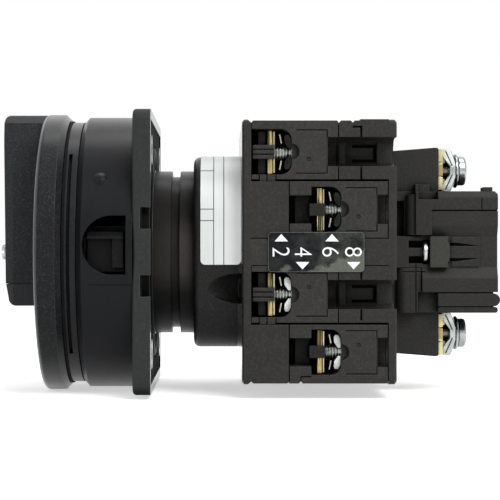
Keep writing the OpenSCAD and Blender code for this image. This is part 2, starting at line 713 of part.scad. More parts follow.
// The plain block that splits a second-stage terminal, with a sunk floor in the wire entry before it
module tower_block(x) {
    span([x + block_lead - 0.3, x + bar_lead + bar_t + 0.7], [-half + 1.8, -bar_out_y - bar_gap],
        [-1.4, 1.4]);
    span([x + block_lead - 0.3, x + bar_lead - bar_gap], [-half + 1.8, -half + opening_d + 0.2], [-1.4, 1.4]);
    span([x + 1.6, x + block_lead], [-half + 7, -half + 10.2],
        [-wire_slot_h / 2 - 0.1, wire_slot_h / 2 + 0.1]);
}

// Two small feet that reach from a tower's edge across the gap between the rows
foot_x = [4.7, 6.2, 6.5, 8.3];
module tower_feet(x, edge) for (i = [0, 2])
    span([x + foot_x[i], x + foot_x[i + 1]], [-half + 0.1, -half + 2], [edge - 0.6, edge + row_gap - seam]);
module foot_lines(x) for (line = [foot_x[0] - 0.3, foot_x[1], foot_x[3]])
    span([x + line, x + line + 0.3], [-half - 1, -half + 0.8], [opening_h / 2 - eps, row_half]);

bar_gap = 0.12;
bar_in_y = 8;
bar_neck_y = 19.6;
bar_out_y = half - 2.6;
// Outline of a bar, in the place of an upper row at height z, down or up to its contact foot
module bar_outline(z, grow) {
    low = min(z - bar_w / 2, bar_foot_z);
    high = max(z - bar_w / 2 + 1, bar_foot_z + bar_foot_t);
    translate([-bar_out_y - grow, z - bar_w / 2 - grow])
        square([bar_out_y - zone_y - 2.4 + 2 * grow, bar_w + 2 * grow]);
    translate([-bar_neck_y - grow, low - grow])
        square([bar_neck_y - zone_y + 2 * grow + 0.4, high - low + 2 * grow]);
    translate([-bar_neck_y - grow, bar_foot_z - grow])
        square([bar_neck_y - bar_in_y + 2 * grow, bar_foot_t + 2 * grow]);
}
module stage_bars(x, flip) color("#c9a84e") mirrored_if(flip) both_sides() {
    bar(x, row_out);
    mirror([0, 0, 1]) bar(x, row_in);
}
module bar(x, z) difference() {
    union() {
        along_x(x + bar_lead, x + bar_lead + bar_t) bar_outline(z, 0);
        span([x + bar_lead, x + contact_lead + tip_r], [-bar_in_y - 5, -bar_in_y],
            [bar_foot_z, bar_foot_z + bar_foot_t]);
    }
    translate([0, -screw_y, z]) rod(x + bar_lead - 1, x + bar_lead + bar_t + 1, screw_r + 0.05);
}
module stage_bar_slots(x) both_sides() {
    along_x(x + bar_lead - bar_gap, x + bar_lead + bar_t + bar_gap) bar_outline(row_out, bar_gap);
    mirror([0, 0, 1]) along_x(x + bar_lead - bar_gap, x + bar_lead + bar_t + bar_gap)
        bar_outline(row_in, bar_gap);
}

// A small rebate along each end of a tower, which shows the seam between the mouldings
rebate_w = 0.16;
rebate_d = 0.5;
module tower_rebates(x0, x1) for (x = [x0, x1])
    span([x - rebate_w, x + rebate_w], [-half - 1, -half + rebate_d], [-row_half, row_half]);

// A stage housing: a cup with two plunger guides, and its towers on both sides
module stage_housing(stage_x, tower_x, tower_start, ribs) difference() {
    union() {
        difference() {
            span([stage_x, stage_x + stage_pitch], [-zone_y + seam, zone_y - seam], [-half, half]);
            span([stage_x + stage_wall, stage_x + stage_pitch + 1], [-cavity_y, cavity_y],
                [-cavity_z, cavity_z]);
        }
        both_sides() span([stage_x, stage_x + stage_pitch], [-half, -cavity_y], middle_band);
        difference() {
            span([stage_x, stage_x + stage_pitch], [-zone_y - 2, zone_y + 2], [-half, half]);
            span([stage_x - 1, stage_x + stage_pitch + 1], [-cavity_y, cavity_y], [-half - 1, half + 1]);
            for (s = [0, 180]) rotate([s, 0, 0]) {
                span([stage_x - 1, stage_x + stage_pitch + 1], [-half, -zone_y + seam],
                    [row_in - row_half - seam, row_in + row_half + seam]);
                span([stage_x - 1, stage_x + stage_pitch + 1], [-half, -zone_y + seam],
                    [-half - 1, -row_out + row_half + seam]);
            }
        }
        outer_rows() band(tower_start, tower_x + 2 * stage_pitch - seam, outer_low, outer_top,
            half - zone_y - seam);
        inner_rows() band(tower_start, tower_x + 2 * stage_pitch - seam, inner_low, inner_top,
            half - zone_y - seam);
        for (s = [-1, 1], t = [0, 180]) rotate([t, 0, 0])
            span([stage_x + 1, stage_x + cam_lead + cam_t],
                s > 0 ? [plunger_w / 2 + slide_gap, plunger_w / 2 + 2]
                    : [-plunger_w / 2 - 2, -plunger_w / 2 - slide_gap],
                [cam_high_r + 0.9, bar_foot_z + 2]);
    }
    all_rows() tower_cuts(tower_x, !ribs);
    all_rows() tower_rebates(tower_start, tower_x + 2 * stage_pitch - seam);
    stage_bar_slots(tower_x);
    rod(stage_x - 1, stage_x + stage_wall + 1, journal_r + running_gap);
    for (s = [-1, 1]) translate([0, s * tie_y, 0]) rod(stage_x - 1, stage_x + stage_pitch + 1, tie_r + 0.1);
    seam_notch(stage_x);
    seam_notch(tower_x + 2 * stage_pitch);
}
module stage_1_housing() color("#3d3b38") union() {
    difference() {
        stage_housing(stage_1_x, tower_1_x, stage_1_x, true);
        mirrored_if(true) stage_bar_slots(tower_2_x);
        outer_rows() mirror([0, 0, 1]) foot_lines(tower_1_x);
        inner_rows() foot_lines(tower_1_x);
    }
    all_rows() tower_ribs(tower_1_x);
    outer_rows() mirror([0, 0, 1]) tower_feet(tower_1_x, -outer_low);
    inner_rows() tower_feet(tower_1_x, inner_top);
}
module stage_2_housing() color("#3d3b38") mirror([0, 0, 1]) union() {
    difference() {
        stage_housing(stage_2_x, tower_2_x, tower_2_x, false);
        // A short seam runs in from the notch at the stage's edge
        outer_rows() {
            span([stage_2_x, tower_2_x + block_lead], [-half - 1, -half + 0.6],
                [outer_top - 1.75, outer_top - 1.4]);
            span([stage_2_x - 0.15, stage_2_x + 0.15], [-half - 1, -half + 0.6],
                [outer_top - 1.6, outer_top + 1]);
        }
    }
    all_rows() tower_block(tower_2_x);
}

// The rear cover fills the rows behind the first stage's towers and closes the block
filler_x = tower_2_x + stage_pitch;
hook_x = filler_x + 4.9;
hook_w = 0.5;
hook_d = 1.2;
hook_drop = 1.2;
hook_reach = 1.7;
// Floor of the screwdriver ways: a raised step at the front and back, and a deep U-shaped slot between
way_floor = 7.3;
way_step_x = filler_x + 0.5;
way_slot_x0 = filler_x + 3.6;
way_slot_x1 = filler_x + 9.4;
way_slot_w = 0.75;
way_slot_z = 2.1;
module rear_cover() color("#3b3936") union() {
    rear_cover_shell();
    // Steps on the floor of the ways
    all_rows() for (x = [[way_step_x, way_step_x + 1.5], [way_slot_x1 + 0.1, block_end_x - 0.5]])
        span(x, [-half + way_floor, -half + way_floor + 3], [-driver_r * 0.75, driver_r * 0.75]);
}
module rear_cover_shell() difference() {
    union() {
        span([cover_x, strip_x], [-zone_y + seam, zone_y - seam], [-half, half]);
        span([cover_x, strip_x], [-half, half], middle_band);
        outer_rows() {
            band(filler_x, strip_x, outer_low, outer_top, half - zone_y - seam);
            band(hook_x, strip_x, outer_low, outer_top + tower_drop, half - zone_y - seam);
        }
        inner_rows() band(filler_x, strip_x, inner_low, inner_top, half - zone_y - seam);
        block_plate(strip_x, block_end_x, 0, block_edge);
    }
    // Ways for the screwdriver, open to the face in the first stage's rows
    all_rows() {
        translate([0, -screw_y, 0]) rod(filler_x - 1, block_end_x + 1, driver_r);
        span([filler_x - 1, block_end_x + 1], [-half - 1, -screw_y], [-driver_r, driver_r]);
        span([hook_x, hook_x + hook_w], [-half - 1, -half + hook_d], [-row_half - 1, outer_top - hook_drop]);
        for (z = [0, 1]) mirror([0, 0, z])
            span([way_slot_x0, way_slot_x1], [-half + 5, -half + way_floor + 3.2],
                [way_slot_z - way_slot_w, way_slot_z]);
        span([way_slot_x1 - way_slot_w, way_slot_x1], [-half + 5, -half + way_floor + 3.2],
            [-way_slot_z, way_slot_z]);
    }
    // The hook's seam runs back and up to a notch in the top and bottom edges
    outer_rows() span([hook_x - hook_reach, hook_x + hook_w], [-half - 1, -half + hook_d],
        [outer_top - hook_drop - hook_w, outer_top - hook_drop]);
    seam_notch(hook_x - hook_reach);
    mirrored_if(true) all_rows() translate([0, -screw_y, 0]) rod(strip_x - 1, block_end_x + 1, driver_r);
    rod(cover_x - 1, strip_x - 0.9, journal_r + running_gap);
    for (s = [-1, 1]) translate([0, s * tie_y, 0]) {
        rod(cover_x - 1, block_end_x + 1, tie_r + 0.1);
        rod(block_end_x - tie_head_t - 0.3, block_end_x + 1, tie_head_r + 0.2);
    }
    seam_notch(filler_x);
}

module number_plate() color("#141a24") along_y(-half - 0.4, -half)
    translate([stage_1_x + 3.9 + number_plate_w / 2, 0]) rounded(number_plate_w, number_plate_h, 0.9);

// Cam outline: the radius grows evenly over a little more than a quarter turn, then falls back
cam_over = 4;
function cam_r(a) =
    let (b = (a + cam_over) % 180, rise = 90 + 2 * cam_over, slope = contact_lift / 90)
    cam_low_r - cam_over * slope + slope * (b < rise ? b : rise * (180 - b) / (180 - rise));
module cam(x0, x1) color("#b9472f") difference() {
    union() {
        rod(x0, x1, journal_r);
        along_x(x0 + cam_lead, x0 + cam_lead + cam_t)
            polygon([for (a = [0:4:356]) cam_r(a) * [cos(a), sin(a)]]);
    }
    along_x(x0 - 1, x1 + 1) square(shaft_w + 2 * slide_gap, center = true);
}
module cam_1() cam(stage_1_x, stage_2_x - 0.1);
module cam_2() cam(stage_2_x, strip_x - 1);

// A plunger stands on its cam and carries a contact bridge; the lower ones are turned half a turn
module at_contact(stage_x, lower) rotate([lower ? 180 : 0, 0, 0])
    translate([stage_x + cam_lead + cam_t / 2, 0, 0]) children();
nose_z = cam_high_r + nose_gap + nose_r;
module plunger(stage_x, lower) color("#e2ddcf") at_contact(stage_x, lower) {
    translate([-cam_t / 2 + 0.1, 0, nose_z]) rotate([0, 90, 0]) cylinder(h = cam_t - 0.2, r = nose_r);
    along_x(-cam_t / 2 + 0.1, cam_t / 2 - 0.1) polygon([[-nose_r, nose_z], [nose_r, nose_z],
        [plunger_w / 2, nose_z + 1.2], [plunger_w / 2, bridge_z], [-plunger_w / 2, bridge_z],
        [-plunger_w / 2, nose_z + 1.2]]);
    translate([0, 0, bridge_z - 0.5]) cylinder(h = bridge_t + 3, r = stem_r);
}
module bridge(stage_x, lower) color("#c58b52") at_contact(stage_x, lower) {
    difference() {
        span([-cam_t / 2 + 0.3, cam_t / 2 - 0.3], [-bridge_y, bridge_y], [bridge_z, bridge_z + bridge_t]);
        translate([0, 0, bridge_z - 1]) cylinder(h = bridge_t + 2, r = stem_r + 0.05);
    }
    for (y = [-1, 1]) translate([0, y * tip_y, bridge_z - tip_t]) cylinder(h = tip_t + 0.1, r = tip_r);
}
module contact_spring(stage_x, lower) color("#b4b9bd") at_contact(stage_x, lower)
    translate([0, 0, bridge_z + bridge_t]) coil(2.3, 0.3, cavity_z - bridge_z - bridge_t, 4);
module plunger_1() plunger(stage_1_x, false);
module plunger_2() plunger(stage_1_x, true);
module plunger_3() plunger(stage_2_x, false);
module plunger_4() plunger(stage_2_x, true);
module bridge_1() bridge(stage_1_x, false);
module bridge_2() bridge(stage_1_x, true);
module bridge_3() bridge(stage_2_x, false);
module bridge_4() bridge(stage_2_x, true);
module contact_spring_1() contact_spring(stage_1_x, false);
module contact_spring_2() contact_spring(stage_1_x, true);
module contact_spring_3() contact_spring(stage_2_x, false);
module contact_spring_4() contact_spring(stage_2_x, true);

module terminal_bars_1() stage_bars(tower_1_x, false);
module terminal_bars_2() stage_bars(tower_2_x, true);

module fixed_contact_tips() color("#d5d8da") for (x = [tower_1_x, tower_2_x], y = [-1, 1], t = [0, 180])
    rotate([t, 0, 0]) translate([x + contact_lead, y * tip_y, bar_foot_z + bar_foot_t])
        cylinder(h = tip_t, r = tip_r);

// What repeats at every terminal of both stages
module at_terminals() {
    all_rows() translate([tower_1_x, -screw_y, 0]) children();
    mirror([0, 0, 1]) all_rows() translate([tower_2_x, -screw_y, 0]) children();
}
clamp_x = bar_lead + bar_t + 0.2;
clamp_t = 0.35;
// Each screw holds a flat clamp washer on its bar and a thin bowed one behind it
bow_x = 9.2;
bow_t = 0.3;
bow_side = [[0, 4.1], [0.35, 2.3], [0.5, 0.9], [0.5, -0.9], [0.35, -2.3], [0, -4.1]];
module clamp_washers() color("#c7ccd0") at_terminals() difference() {
    union() {
        span([clamp_x, clamp_x + clamp_t], [screw_y - bar_out_y + 0.1, 4],
            [-bar_w / 2 + 0.2, bar_w / 2 - 0.2]);
        along_y(-3.4, 3.4) polygon(concat([for (p = bow_side) [bow_x + p[0], p[1]]],
            [for (i = [len(bow_side) - 1:-1:0]) [bow_x + bow_t + bow_side[i][0], bow_side[i][1]]]));
    }
    rod(clamp_x - 1, bow_x + 2, screw_r + 0.1);
    span([bow_x - 0.3, bow_x + 2], [-4, 0], [-screw_r, screw_r]);
}
// A saddle washer: thin in the middle, with a thick lobe at each end, and open on the wire's side
saddle_x0 = 10.4;
saddle_x1 = 12;
saddle_half = bar_w / 2 - 1;
saddle_notch = 0.95;
module saddle_washers() color("#cfd4d7") at_terminals() difference() {
    along_y(-3.5, 3.5) polygon([[saddle_x1, -saddle_half + 0.9], [saddle_x1, saddle_half - 0.9],
        [saddle_x1 - 0.6, saddle_half], [saddle_x0 + 0.3, saddle_half], [saddle_x0, saddle_half - 0.6],
        [saddle_x0 + 0.1, 2.2], [saddle_x0 + 1, 0.9], [saddle_x0 + 1, -0.9], [saddle_x0 + 0.1, -2.2],
        [saddle_x0, -saddle_half + 0.6], [saddle_x0 + 0.3, -saddle_half], [saddle_x1 - 0.6, -saddle_half]]);
    rod(saddle_x0 - 1, saddle_x1 + 1, screw_r + 0.1);
    span([saddle_x0 - 1, saddle_x1 + 1], [-4, 0], [-saddle_notch, saddle_notch]);
}
// A terminal screw: rings stand for its thread where the window shows it, its head is behind the panel
thread_pitch = 0.7;
thread_d = 0.34;
thread_x0 = clamp_x + clamp_t;
threads = floor((saddle_x1 - thread_x0) / thread_pitch);
module terminal_screw() difference() {
    union() {
        turned(concat([[0, bar_lead + 0.1], [screw_r, bar_lead + 0.1], [screw_r, thread_x0]],
            [for (i = [0:threads - 1]) each [[screw_r - thread_d, thread_x0 + (i + 0.45) * thread_pitch],
                [screw_r, thread_x0 + (i + 0.9) * thread_pitch],
                [screw_r, thread_x0 + (i + 1) * thread_pitch]]],
            [[screw_r, saddle_x1 + 0.2], [0, saddle_x1 + 0.2]]), 32);
        rod(saddle_x1, opening_right + 1.3, driver_r - 0.15);
    }
    for (a = [0, 90]) rotate([a, 0, 0])
        span([opening_right + 0.3, opening_right + 2], [-2.2, 2.2], [-0.45, 0.45]);
}
module terminal_screws_1() color("#c3c8cc") all_rows() translate([tower_1_x, -screw_y, 0]) terminal_screw();
module terminal_screws_2() color("#c3c8cc")
    mirror([0, 0, 1]) all_rows() translate([tower_2_x, -screw_y, 0]) terminal_screw();

module tie_screws() color("#a9aeb2") for (s = [-1, 1]) translate([0, s * tie_y, 0]) difference() {
    union() {
        rod(neck_x + 3, block_end_x - tie_head_t, tie_r);
        rod(block_end_x - tie_head_t - 0.1, block_end_x - 0.1, tie_head_r);
    }
    for (a = [0, 90]) rotate([a, 0, 0])
        span([block_end_x - 1.3, block_end_x + 1], [-2, 2], [-0.4, 0.4]);
}

// The rear block: a banded body with two wings, a tongue with its fixing screw and a raised block behind it
rear_half = rear_h / 2;
rear_y = rear_d / 2;
body_x = wing_x - 4.5;
strip_start_x = wing_x - 0.7;
wing_root = wing_reach - 0.9;
wing_y = wing_w / 2;
front_y = rear_y - 3.2;
flange_top = -rear_half + 4.65;
flange_low = -rear_half + 1.6;
band_z = 6.3;
band_sunk = 1.1;
upper_z = rear_half - 4.65;
groove_z = 0.35;
tongue_z = 2.75;
tongue_y = rear_y - 1;
raised_x0 = body_x + 1.8;
raised_x1 = body_x + 6.5;
raised_y = rear_y + 0.7;
fix_x = body_x + 0.2;
fix_y = rear_y - 2.5;
fix_r = 2.8;
fix_t = 1.5;
column_x0 = body_x - 1.6;
column_x1 = body_x + 2.3;
boss_x0 = block_end_x + 1.7;
boss_x1 = body_x - 0.2;
boss_r = 2.2;
module wing_side() polygon([
    [block_end_x, rear_half - 4], [block_end_x, wing_root], [wing_x - 0.8, wing_reach],
    [wing_x - 0.2, wing_reach - 0.1], [wing_x, wing_reach - 0.5], [wing_x, rear_half - 4]]);
// Half of the body's section: a sloped top, a groove, a proud band, and a sunk middle
groove_y = rear_y - 0.8;
sunk_y = rear_y - band_sunk;
band_side = [
    [0, rear_half], [rear_y - 0.7, rear_half], [rear_y, rear_half - 1.4],
    [rear_y, upper_z + groove_z / 2], [groove_y, upper_z + groove_z / 2],
    [groove_y, upper_z - groove_z / 2], [rear_y, upper_z - groove_z / 2],
    [rear_y, band_z], [sunk_y, band_z - 2.4], [sunk_y, -band_z + 2.6], [rear_y, -band_z],
    [rear_y, flange_top + groove_z], [0, flange_top + groove_z]];
module band_section() for (m = [0, 1]) mirror([m, 0]) polygon(band_side);
// A slot that starts wide at the raised block and tapers to nothing
wedge_len = 7.4;
module wedge_slot() polygon([[raised_x1 - 0.1, 0], [raised_x1 - 0.1, 0.75], [raised_x1 + 1.5, 0.85],
    [raised_x1 + wedge_len, 0.05], [raised_x1 + wedge_len, 0]]);
module rear_block() color("#3b3a37") difference() {
    union() {
        for (z = [0, 1]) mirror([0, 0, z]) along_y(-wing_y, wing_y) wing_side();
        span([block_end_x, strip_start_x + 1], [-front_y, front_y], [-rear_half, rear_half]);
        along_x(body_x, rear_end_x) band_section();
        // Panels on the upper band, and the plate with the wedge slots
        for (x = [[column_x1 - 0.5, rear_end_x - 4.1], [rear_end_x - 3.8, rear_end_x - 0.4]])
            span(x, [-rear_y - 0.25, rear_y + 0.25], [upper_z + groove_z / 2, rear_half - 1.5]);
        span([raised_x1 - 1, raised_x1 + wedge_len], [-sunk_y - 0.3, sunk_y + 0.3], [-3.5, 3.6]);
        // Lower flange with a round end, and the strip under it
        span([strip_start_x, rear_end_x - 1], [-rear_y, rear_y], [flange_low, flange_top]);
        translate([rear_end_x - 1, 0, (flange_low + flange_top) / 2]) rotate([90, 0, 0])
            cylinder(h = rear_d, r = (flange_top - flange_low) / 2, center = true);
        span([strip_start_x, rear_end_x - 1], [-rear_y + 0.8, rear_y - 0.8],
            [flange_low - 1, flange_top + 1]);
        along_y(-rear_y + 0.3, rear_y - 0.3) translate([(strip_start_x + rear_end_x) / 2, -rear_half + 0.7])
            rounded(rear_end_x - strip_start_x, 1.4, 0.6);
        // Column beside the body with a step on top, panel with the tongue, raised block, round boss
        span([column_x0, column_x1], [-rear_y - 0.3, -front_y + 1], [4.1, rear_half - 0.1]);
        span([column_x0, column_x1 - 0.2], [-rear_y + 0.9, rear_y - 0.9], [rear_half - 1, rear_half + 1.7]);
        span([block_end_x, body_x + eps], [-tongue_y, -front_y + 1], [-tongue_z - 1, tongue_z + 1]);
        span([raised_x0, raised_x1], [-raised_y, -sunk_y + 1], [-3.7, 3.7]);
        translate([column_x0 - 0.4, -front_y - 0.9, 4.1]) cylinder(h = rear_half - 4.9, r = 1.7);
        translate([boss_x0 + boss_r, -rear_y + 0.9 + boss_r, -rear_half])
            cylinder(h = rear_half - 3.9, r = boss_r);
        span([boss_x0 + boss_r, boss_x1], [-rear_y + 0.9, -front_y + 1], [-rear_half, -3.9]);
        span([boss_x0 + boss_r, body_x + 1], [-rear_y + 2, -front_y + 1], [-rear_half + 4.5, -3.9]);
        span([rear_end_x - 3.3, rear_end_x - 1.2], [-rear_y + 0.9, -rear_y + 6],
            [rear_half - 1, rear_half + 1]);
    }
    // A small chamfer along the rear end's upper edge
    along_y(-rear_y - 2, rear_y + 2)
        polygon([[rear_end_x - 0.7, rear_half + eps], [rear_end_x + 1, rear_half + eps],
            [rear_end_x + 1, rear_half - 0.7], [rear_end_x + eps, rear_half - 0.7]]);
    // The body's lead corner is open above and below
    span([body_x - 1, strip_start_x], [-rear_y - 1, -front_y], [rear_half - 2, rear_half - 0.1 + 5]);
    span([body_x - 1, strip_start_x], [-rear_y - 1, -front_y], [-rear_half - 1, flange_top + groove_z]);
    // Fine seams in the boss
    span([boss_x1 - 1.4, boss_x1 - 1.15], [-rear_y - 1, -rear_y + 1.2], [-rear_half - 1, -3]);
    span([boss_x0 - 1, boss_x1 + 1], [-rear_y - 1, -rear_y + 1.2], [-4.9, -4.65]);
    // Slots beside the tongue, wedge slots behind the raised block, and its two notches
    for (z = [0, 1]) mirror([0, 0, z]) {
        span([body_x - 3.2, fix_x - 0.05], [-rear_y - 1, -front_y + 1.5], [1, tongue_z]);
        along_y(-rear_y - 1, -rear_y + 2) translate([0, 1.45]) wedge_slot();
        span([raised_x1 - 0.5, raised_x1 + 0.6], [-rear_y - 1, -rear_y + 1], [2.3, 3.9]);
    }
    // Pocket and hole of the fixing screw
    span([fix_x - 0.1, fix_x + fix_t + 0.1], [-rear_y - 1, -fix_y], [-fix_r - 0.15, fix_r + 0.15]);
    translate([0, -fix_y, 0]) rod(fix_x - 0.1, fix_x + fix_t + 0.1, fix_r + 0.15);
    translate([0, -fix_y, 0]) rod(block_end_x - 1, fix_x, 1.3);
    // Dark recess between the column and the contact block
    span([block_end_x + 1.9, block_end_x + 3.7], [-rear_y, -rear_y + 6.5], [3.9, rear_half - 2.2]);
    for (z = [0, 1]) mirror([0, 0, z]) translate([0, 0, rear_screw_z])
        rod(wing_x - 6, wing_x + 1, screw_r + 0.05);
    for (s = [-1, 1]) translate([0, s * tie_y, 0]) rod(block_end_x - 1, block_end_x + 3, tie_head_r + 0.4);
}

module rear_fixing_screw() color("#d5dadd") translate([0, -fix_y, 0]) {
    turned([[0, fix_x], [fix_r - 0.3, fix_x], [fix_r, fix_x + 0.3], [fix_r, fix_x + fix_t - 0.5],
        [fix_r - 0.5, fix_x + fix_t], [0, fix_x + fix_t]]);
    rod(block_end_x + 0.2, fix_x + 0.1, 1.2);
}

// Rear terminals, one on each wing
module at_wings() for (z = [0, 1]) mirror([0, 0, z]) translate([wing_x, 0, rear_screw_z]) children();
plate_back = 1.2;
module rear_terminal_plates() color("#cfae55") at_wings() difference() {
    span([0, plate_back], [-wing_y + 1.5, wing_y - 1.5], [-bar_w / 2, bar_w / 2]);
    rod(-1, plate_back + 1, screw_r + 0.05);
    for (y = [-1, 1], z = [-1, 1]) {
        span([plate_back - 0.4, plate_back + 1], [-wing_y, wing_y], [z * 1.7 - 0.16, z * 1.7 + 0.16]);
        span([-1, plate_back + 1], y > 0 ? [wing_y - 2.3, wing_y] : [-wing_y, -wing_y + 2.3],
            [z * 1.7 - 0.16, z * 1.7 + 0.16]);
    }
}
// Each saddle is bent: thick at its two ends, which lean towards the brass, and thin in the middle
saddle_end = bar_w / 2 + 0.2;
saddle_back = plate_back + 3.8;
saddle_edge = [
    [plate_back + 0.25, saddle_end - 0.3], [plate_back + 0.6, saddle_end],
    [plate_back + 2.3, saddle_end + 0.2], [plate_back + 2.7, saddle_end - 0.3], [saddle_back, 1.5]];
saddle_hollow = [[plate_back + 2.4, 1.1], [plate_back + 0.8, 3.1]];
module saddle_side() for (m = [0, 1]) mirror([0, m])
    polygon(concat(saddle_edge, [[saddle_back, -eps], [plate_back + 2.4, -eps]], saddle_hollow));
// A dark line between the saddle's two layers
module saddle_line() for (m = [0, 1]) mirror([0, m]) polygon([[plate_back + 1.2, saddle_end - 0.4],
    [plate_back + 1.4, saddle_end - 0.4], [plate_back + 3.1, 1], [plate_back + 2.9, 1]]);
saddle_y = 4.4;
module rear_saddle_washers() color("#d3d8db") at_wings() difference() {
    along_y(-saddle_y, saddle_y) saddle_side();
    for (y = [-saddle_y, saddle_y]) along_y(y - 0.35, y + 0.35) saddle_line();
    rod(-1, saddle_back + 1, screw_r + 0.1);
}
washer_t = 0.9;
head_t = 2;
head_x = saddle_back + washer_t;
module rear_terminal_screws() color("#cdd2d6") at_wings() difference() {
    union() {
        rod(-5.5, head_x + 0.1, screw_r);
        turned([[0, saddle_back], [screw_head_r + 0.3, saddle_back], [screw_head_r + 0.6, saddle_back + 0.3],
            [screw_head_r + 0.6, saddle_back + 0.6], [screw_head_r + 0.3, head_x - 0.02], [0, head_x]]);
        turned(concat([[0, head_x - 0.1], [screw_head_r - 0.2, head_x - 0.1], [screw_head_r, head_x + 0.3]],
            arc(screw_head_r - 0.7, head_x + head_t - 0.7, 0.7, 0, 90, 4), [[0, head_x + head_t]]));
    }
    for (a = [0, 90]) rotate([a, 0, 0])
        span([head_x + head_t - 1.2, head_x + head_t + 1], [-2.3, 2.3], [-0.45, 0.45]);
}

grip();
lock_slide();
grip_screw();
handle_disc();
seal_washer();
index_ring();
round_housing();
window_latch();
latch_spring();
frame_plate();
panel_gasket();
neck_bush();
bush_nut();
shaft_seal();
coupling_sleeve();
hub_circlip();
drive_shaft();
front_housing();
rating_label();
detent_wheel();
detent_springs();
stage_1_housing();
stage_2_housing();
rear_cover();
number_plate();
cam_1();
cam_2();
plunger_1();
plunger_2();
plunger_3();
plunger_4();
bridge_1();
bridge_2();
bridge_3();
bridge_4();
contact_spring_1();
contact_spring_2();
contact_spring_3();
contact_spring_4();
terminal_bars_1();
terminal_bars_2();
fixed_contact_tips();
clamp_washers();
saddle_washers();
terminal_screws_1();
terminal_screws_2();
tie_screws();
rear_block();
rear_terminal_plates();
rear_saddle_washers();
rear_terminal_screws();
rear_fixing_screw();
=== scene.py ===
"""Rotary safety switch: finishes, printed markings, the latch's spring, studio and camera.

Lengths are in metres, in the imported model's frame: X along the turning axis from the handle to the rear
terminals, Z up along the grip, and the side with the number plate faces -Y, towards the camera.
"""

import json
import math

import bmesh
import bpy
from mathutils import Matrix, Vector


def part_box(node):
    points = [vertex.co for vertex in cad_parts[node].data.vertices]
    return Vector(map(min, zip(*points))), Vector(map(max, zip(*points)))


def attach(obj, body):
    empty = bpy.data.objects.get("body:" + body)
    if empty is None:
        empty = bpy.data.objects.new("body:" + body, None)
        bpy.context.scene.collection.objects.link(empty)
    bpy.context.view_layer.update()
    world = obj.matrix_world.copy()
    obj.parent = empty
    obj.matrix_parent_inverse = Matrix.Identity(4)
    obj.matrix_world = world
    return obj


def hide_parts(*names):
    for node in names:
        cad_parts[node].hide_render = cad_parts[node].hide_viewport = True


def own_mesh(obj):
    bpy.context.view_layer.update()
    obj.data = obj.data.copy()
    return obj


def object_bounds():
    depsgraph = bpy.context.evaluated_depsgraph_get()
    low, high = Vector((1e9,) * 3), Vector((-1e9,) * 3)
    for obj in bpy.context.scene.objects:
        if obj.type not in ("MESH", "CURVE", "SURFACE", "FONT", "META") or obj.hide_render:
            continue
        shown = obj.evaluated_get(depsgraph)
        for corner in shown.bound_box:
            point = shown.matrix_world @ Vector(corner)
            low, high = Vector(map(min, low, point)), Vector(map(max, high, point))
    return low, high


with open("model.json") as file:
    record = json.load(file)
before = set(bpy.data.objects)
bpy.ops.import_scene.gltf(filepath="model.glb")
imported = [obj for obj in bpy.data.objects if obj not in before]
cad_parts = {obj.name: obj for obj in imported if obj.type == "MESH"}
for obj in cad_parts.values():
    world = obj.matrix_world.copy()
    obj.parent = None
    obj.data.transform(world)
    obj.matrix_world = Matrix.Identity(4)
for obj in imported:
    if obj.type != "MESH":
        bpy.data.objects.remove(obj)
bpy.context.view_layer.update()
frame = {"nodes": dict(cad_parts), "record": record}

MM = 0.001
MERGE = 1e-6  # corners nearer than this are one


# How a finish is put together from nodes

class Nodes:
    """A node tree built by short calls, in which any input may be a value or another node's socket."""

    def __init__(self, tree):
        self.tree = tree
        tree.nodes.clear()

    def add(self, kind, inputs=(), **settings):
        made = self.tree.nodes.new(kind)
        for name, value in settings.items():
            setattr(made, name, value)
        for name, value in dict(inputs).items():
            if isinstance(value, bpy.types.NodeSocket):
                self.tree.links.new(value, made.inputs[name])
            else:
                made.inputs[name].default_value = value
        return made

    def math(self, operation, a, b=0.0, clamp=False):
        return self.add("ShaderNodeMath", {0: a, 1: b}, operation=operation, use_clamp=clamp).outputs[0]

    def plus(self, a, b, clamp=False):
        return self.math("ADD", a, b, clamp)

    def minus(self, a, b):
        return self.math("SUBTRACT", a, b)

    def times(self, a, b):
        return self.math("MULTIPLY", a, b)

    def most(self, a, b):
        return self.math("MAXIMUM", a, b)

    def apart(self, a, b):
        """How far a lies from b, on either side of it."""
        return self.math("ABSOLUTE", self.minus(a, b))

    def ramp(self, value, low, high, to_low=0.0, to_high=1.0):
        """Maps low..high of a value to to_low..to_high, held at both ends."""
        return self.add("ShaderNodeMapRange", {0: value, 1: low, 2: high, 3: to_low, 4: to_high}).outputs[0]


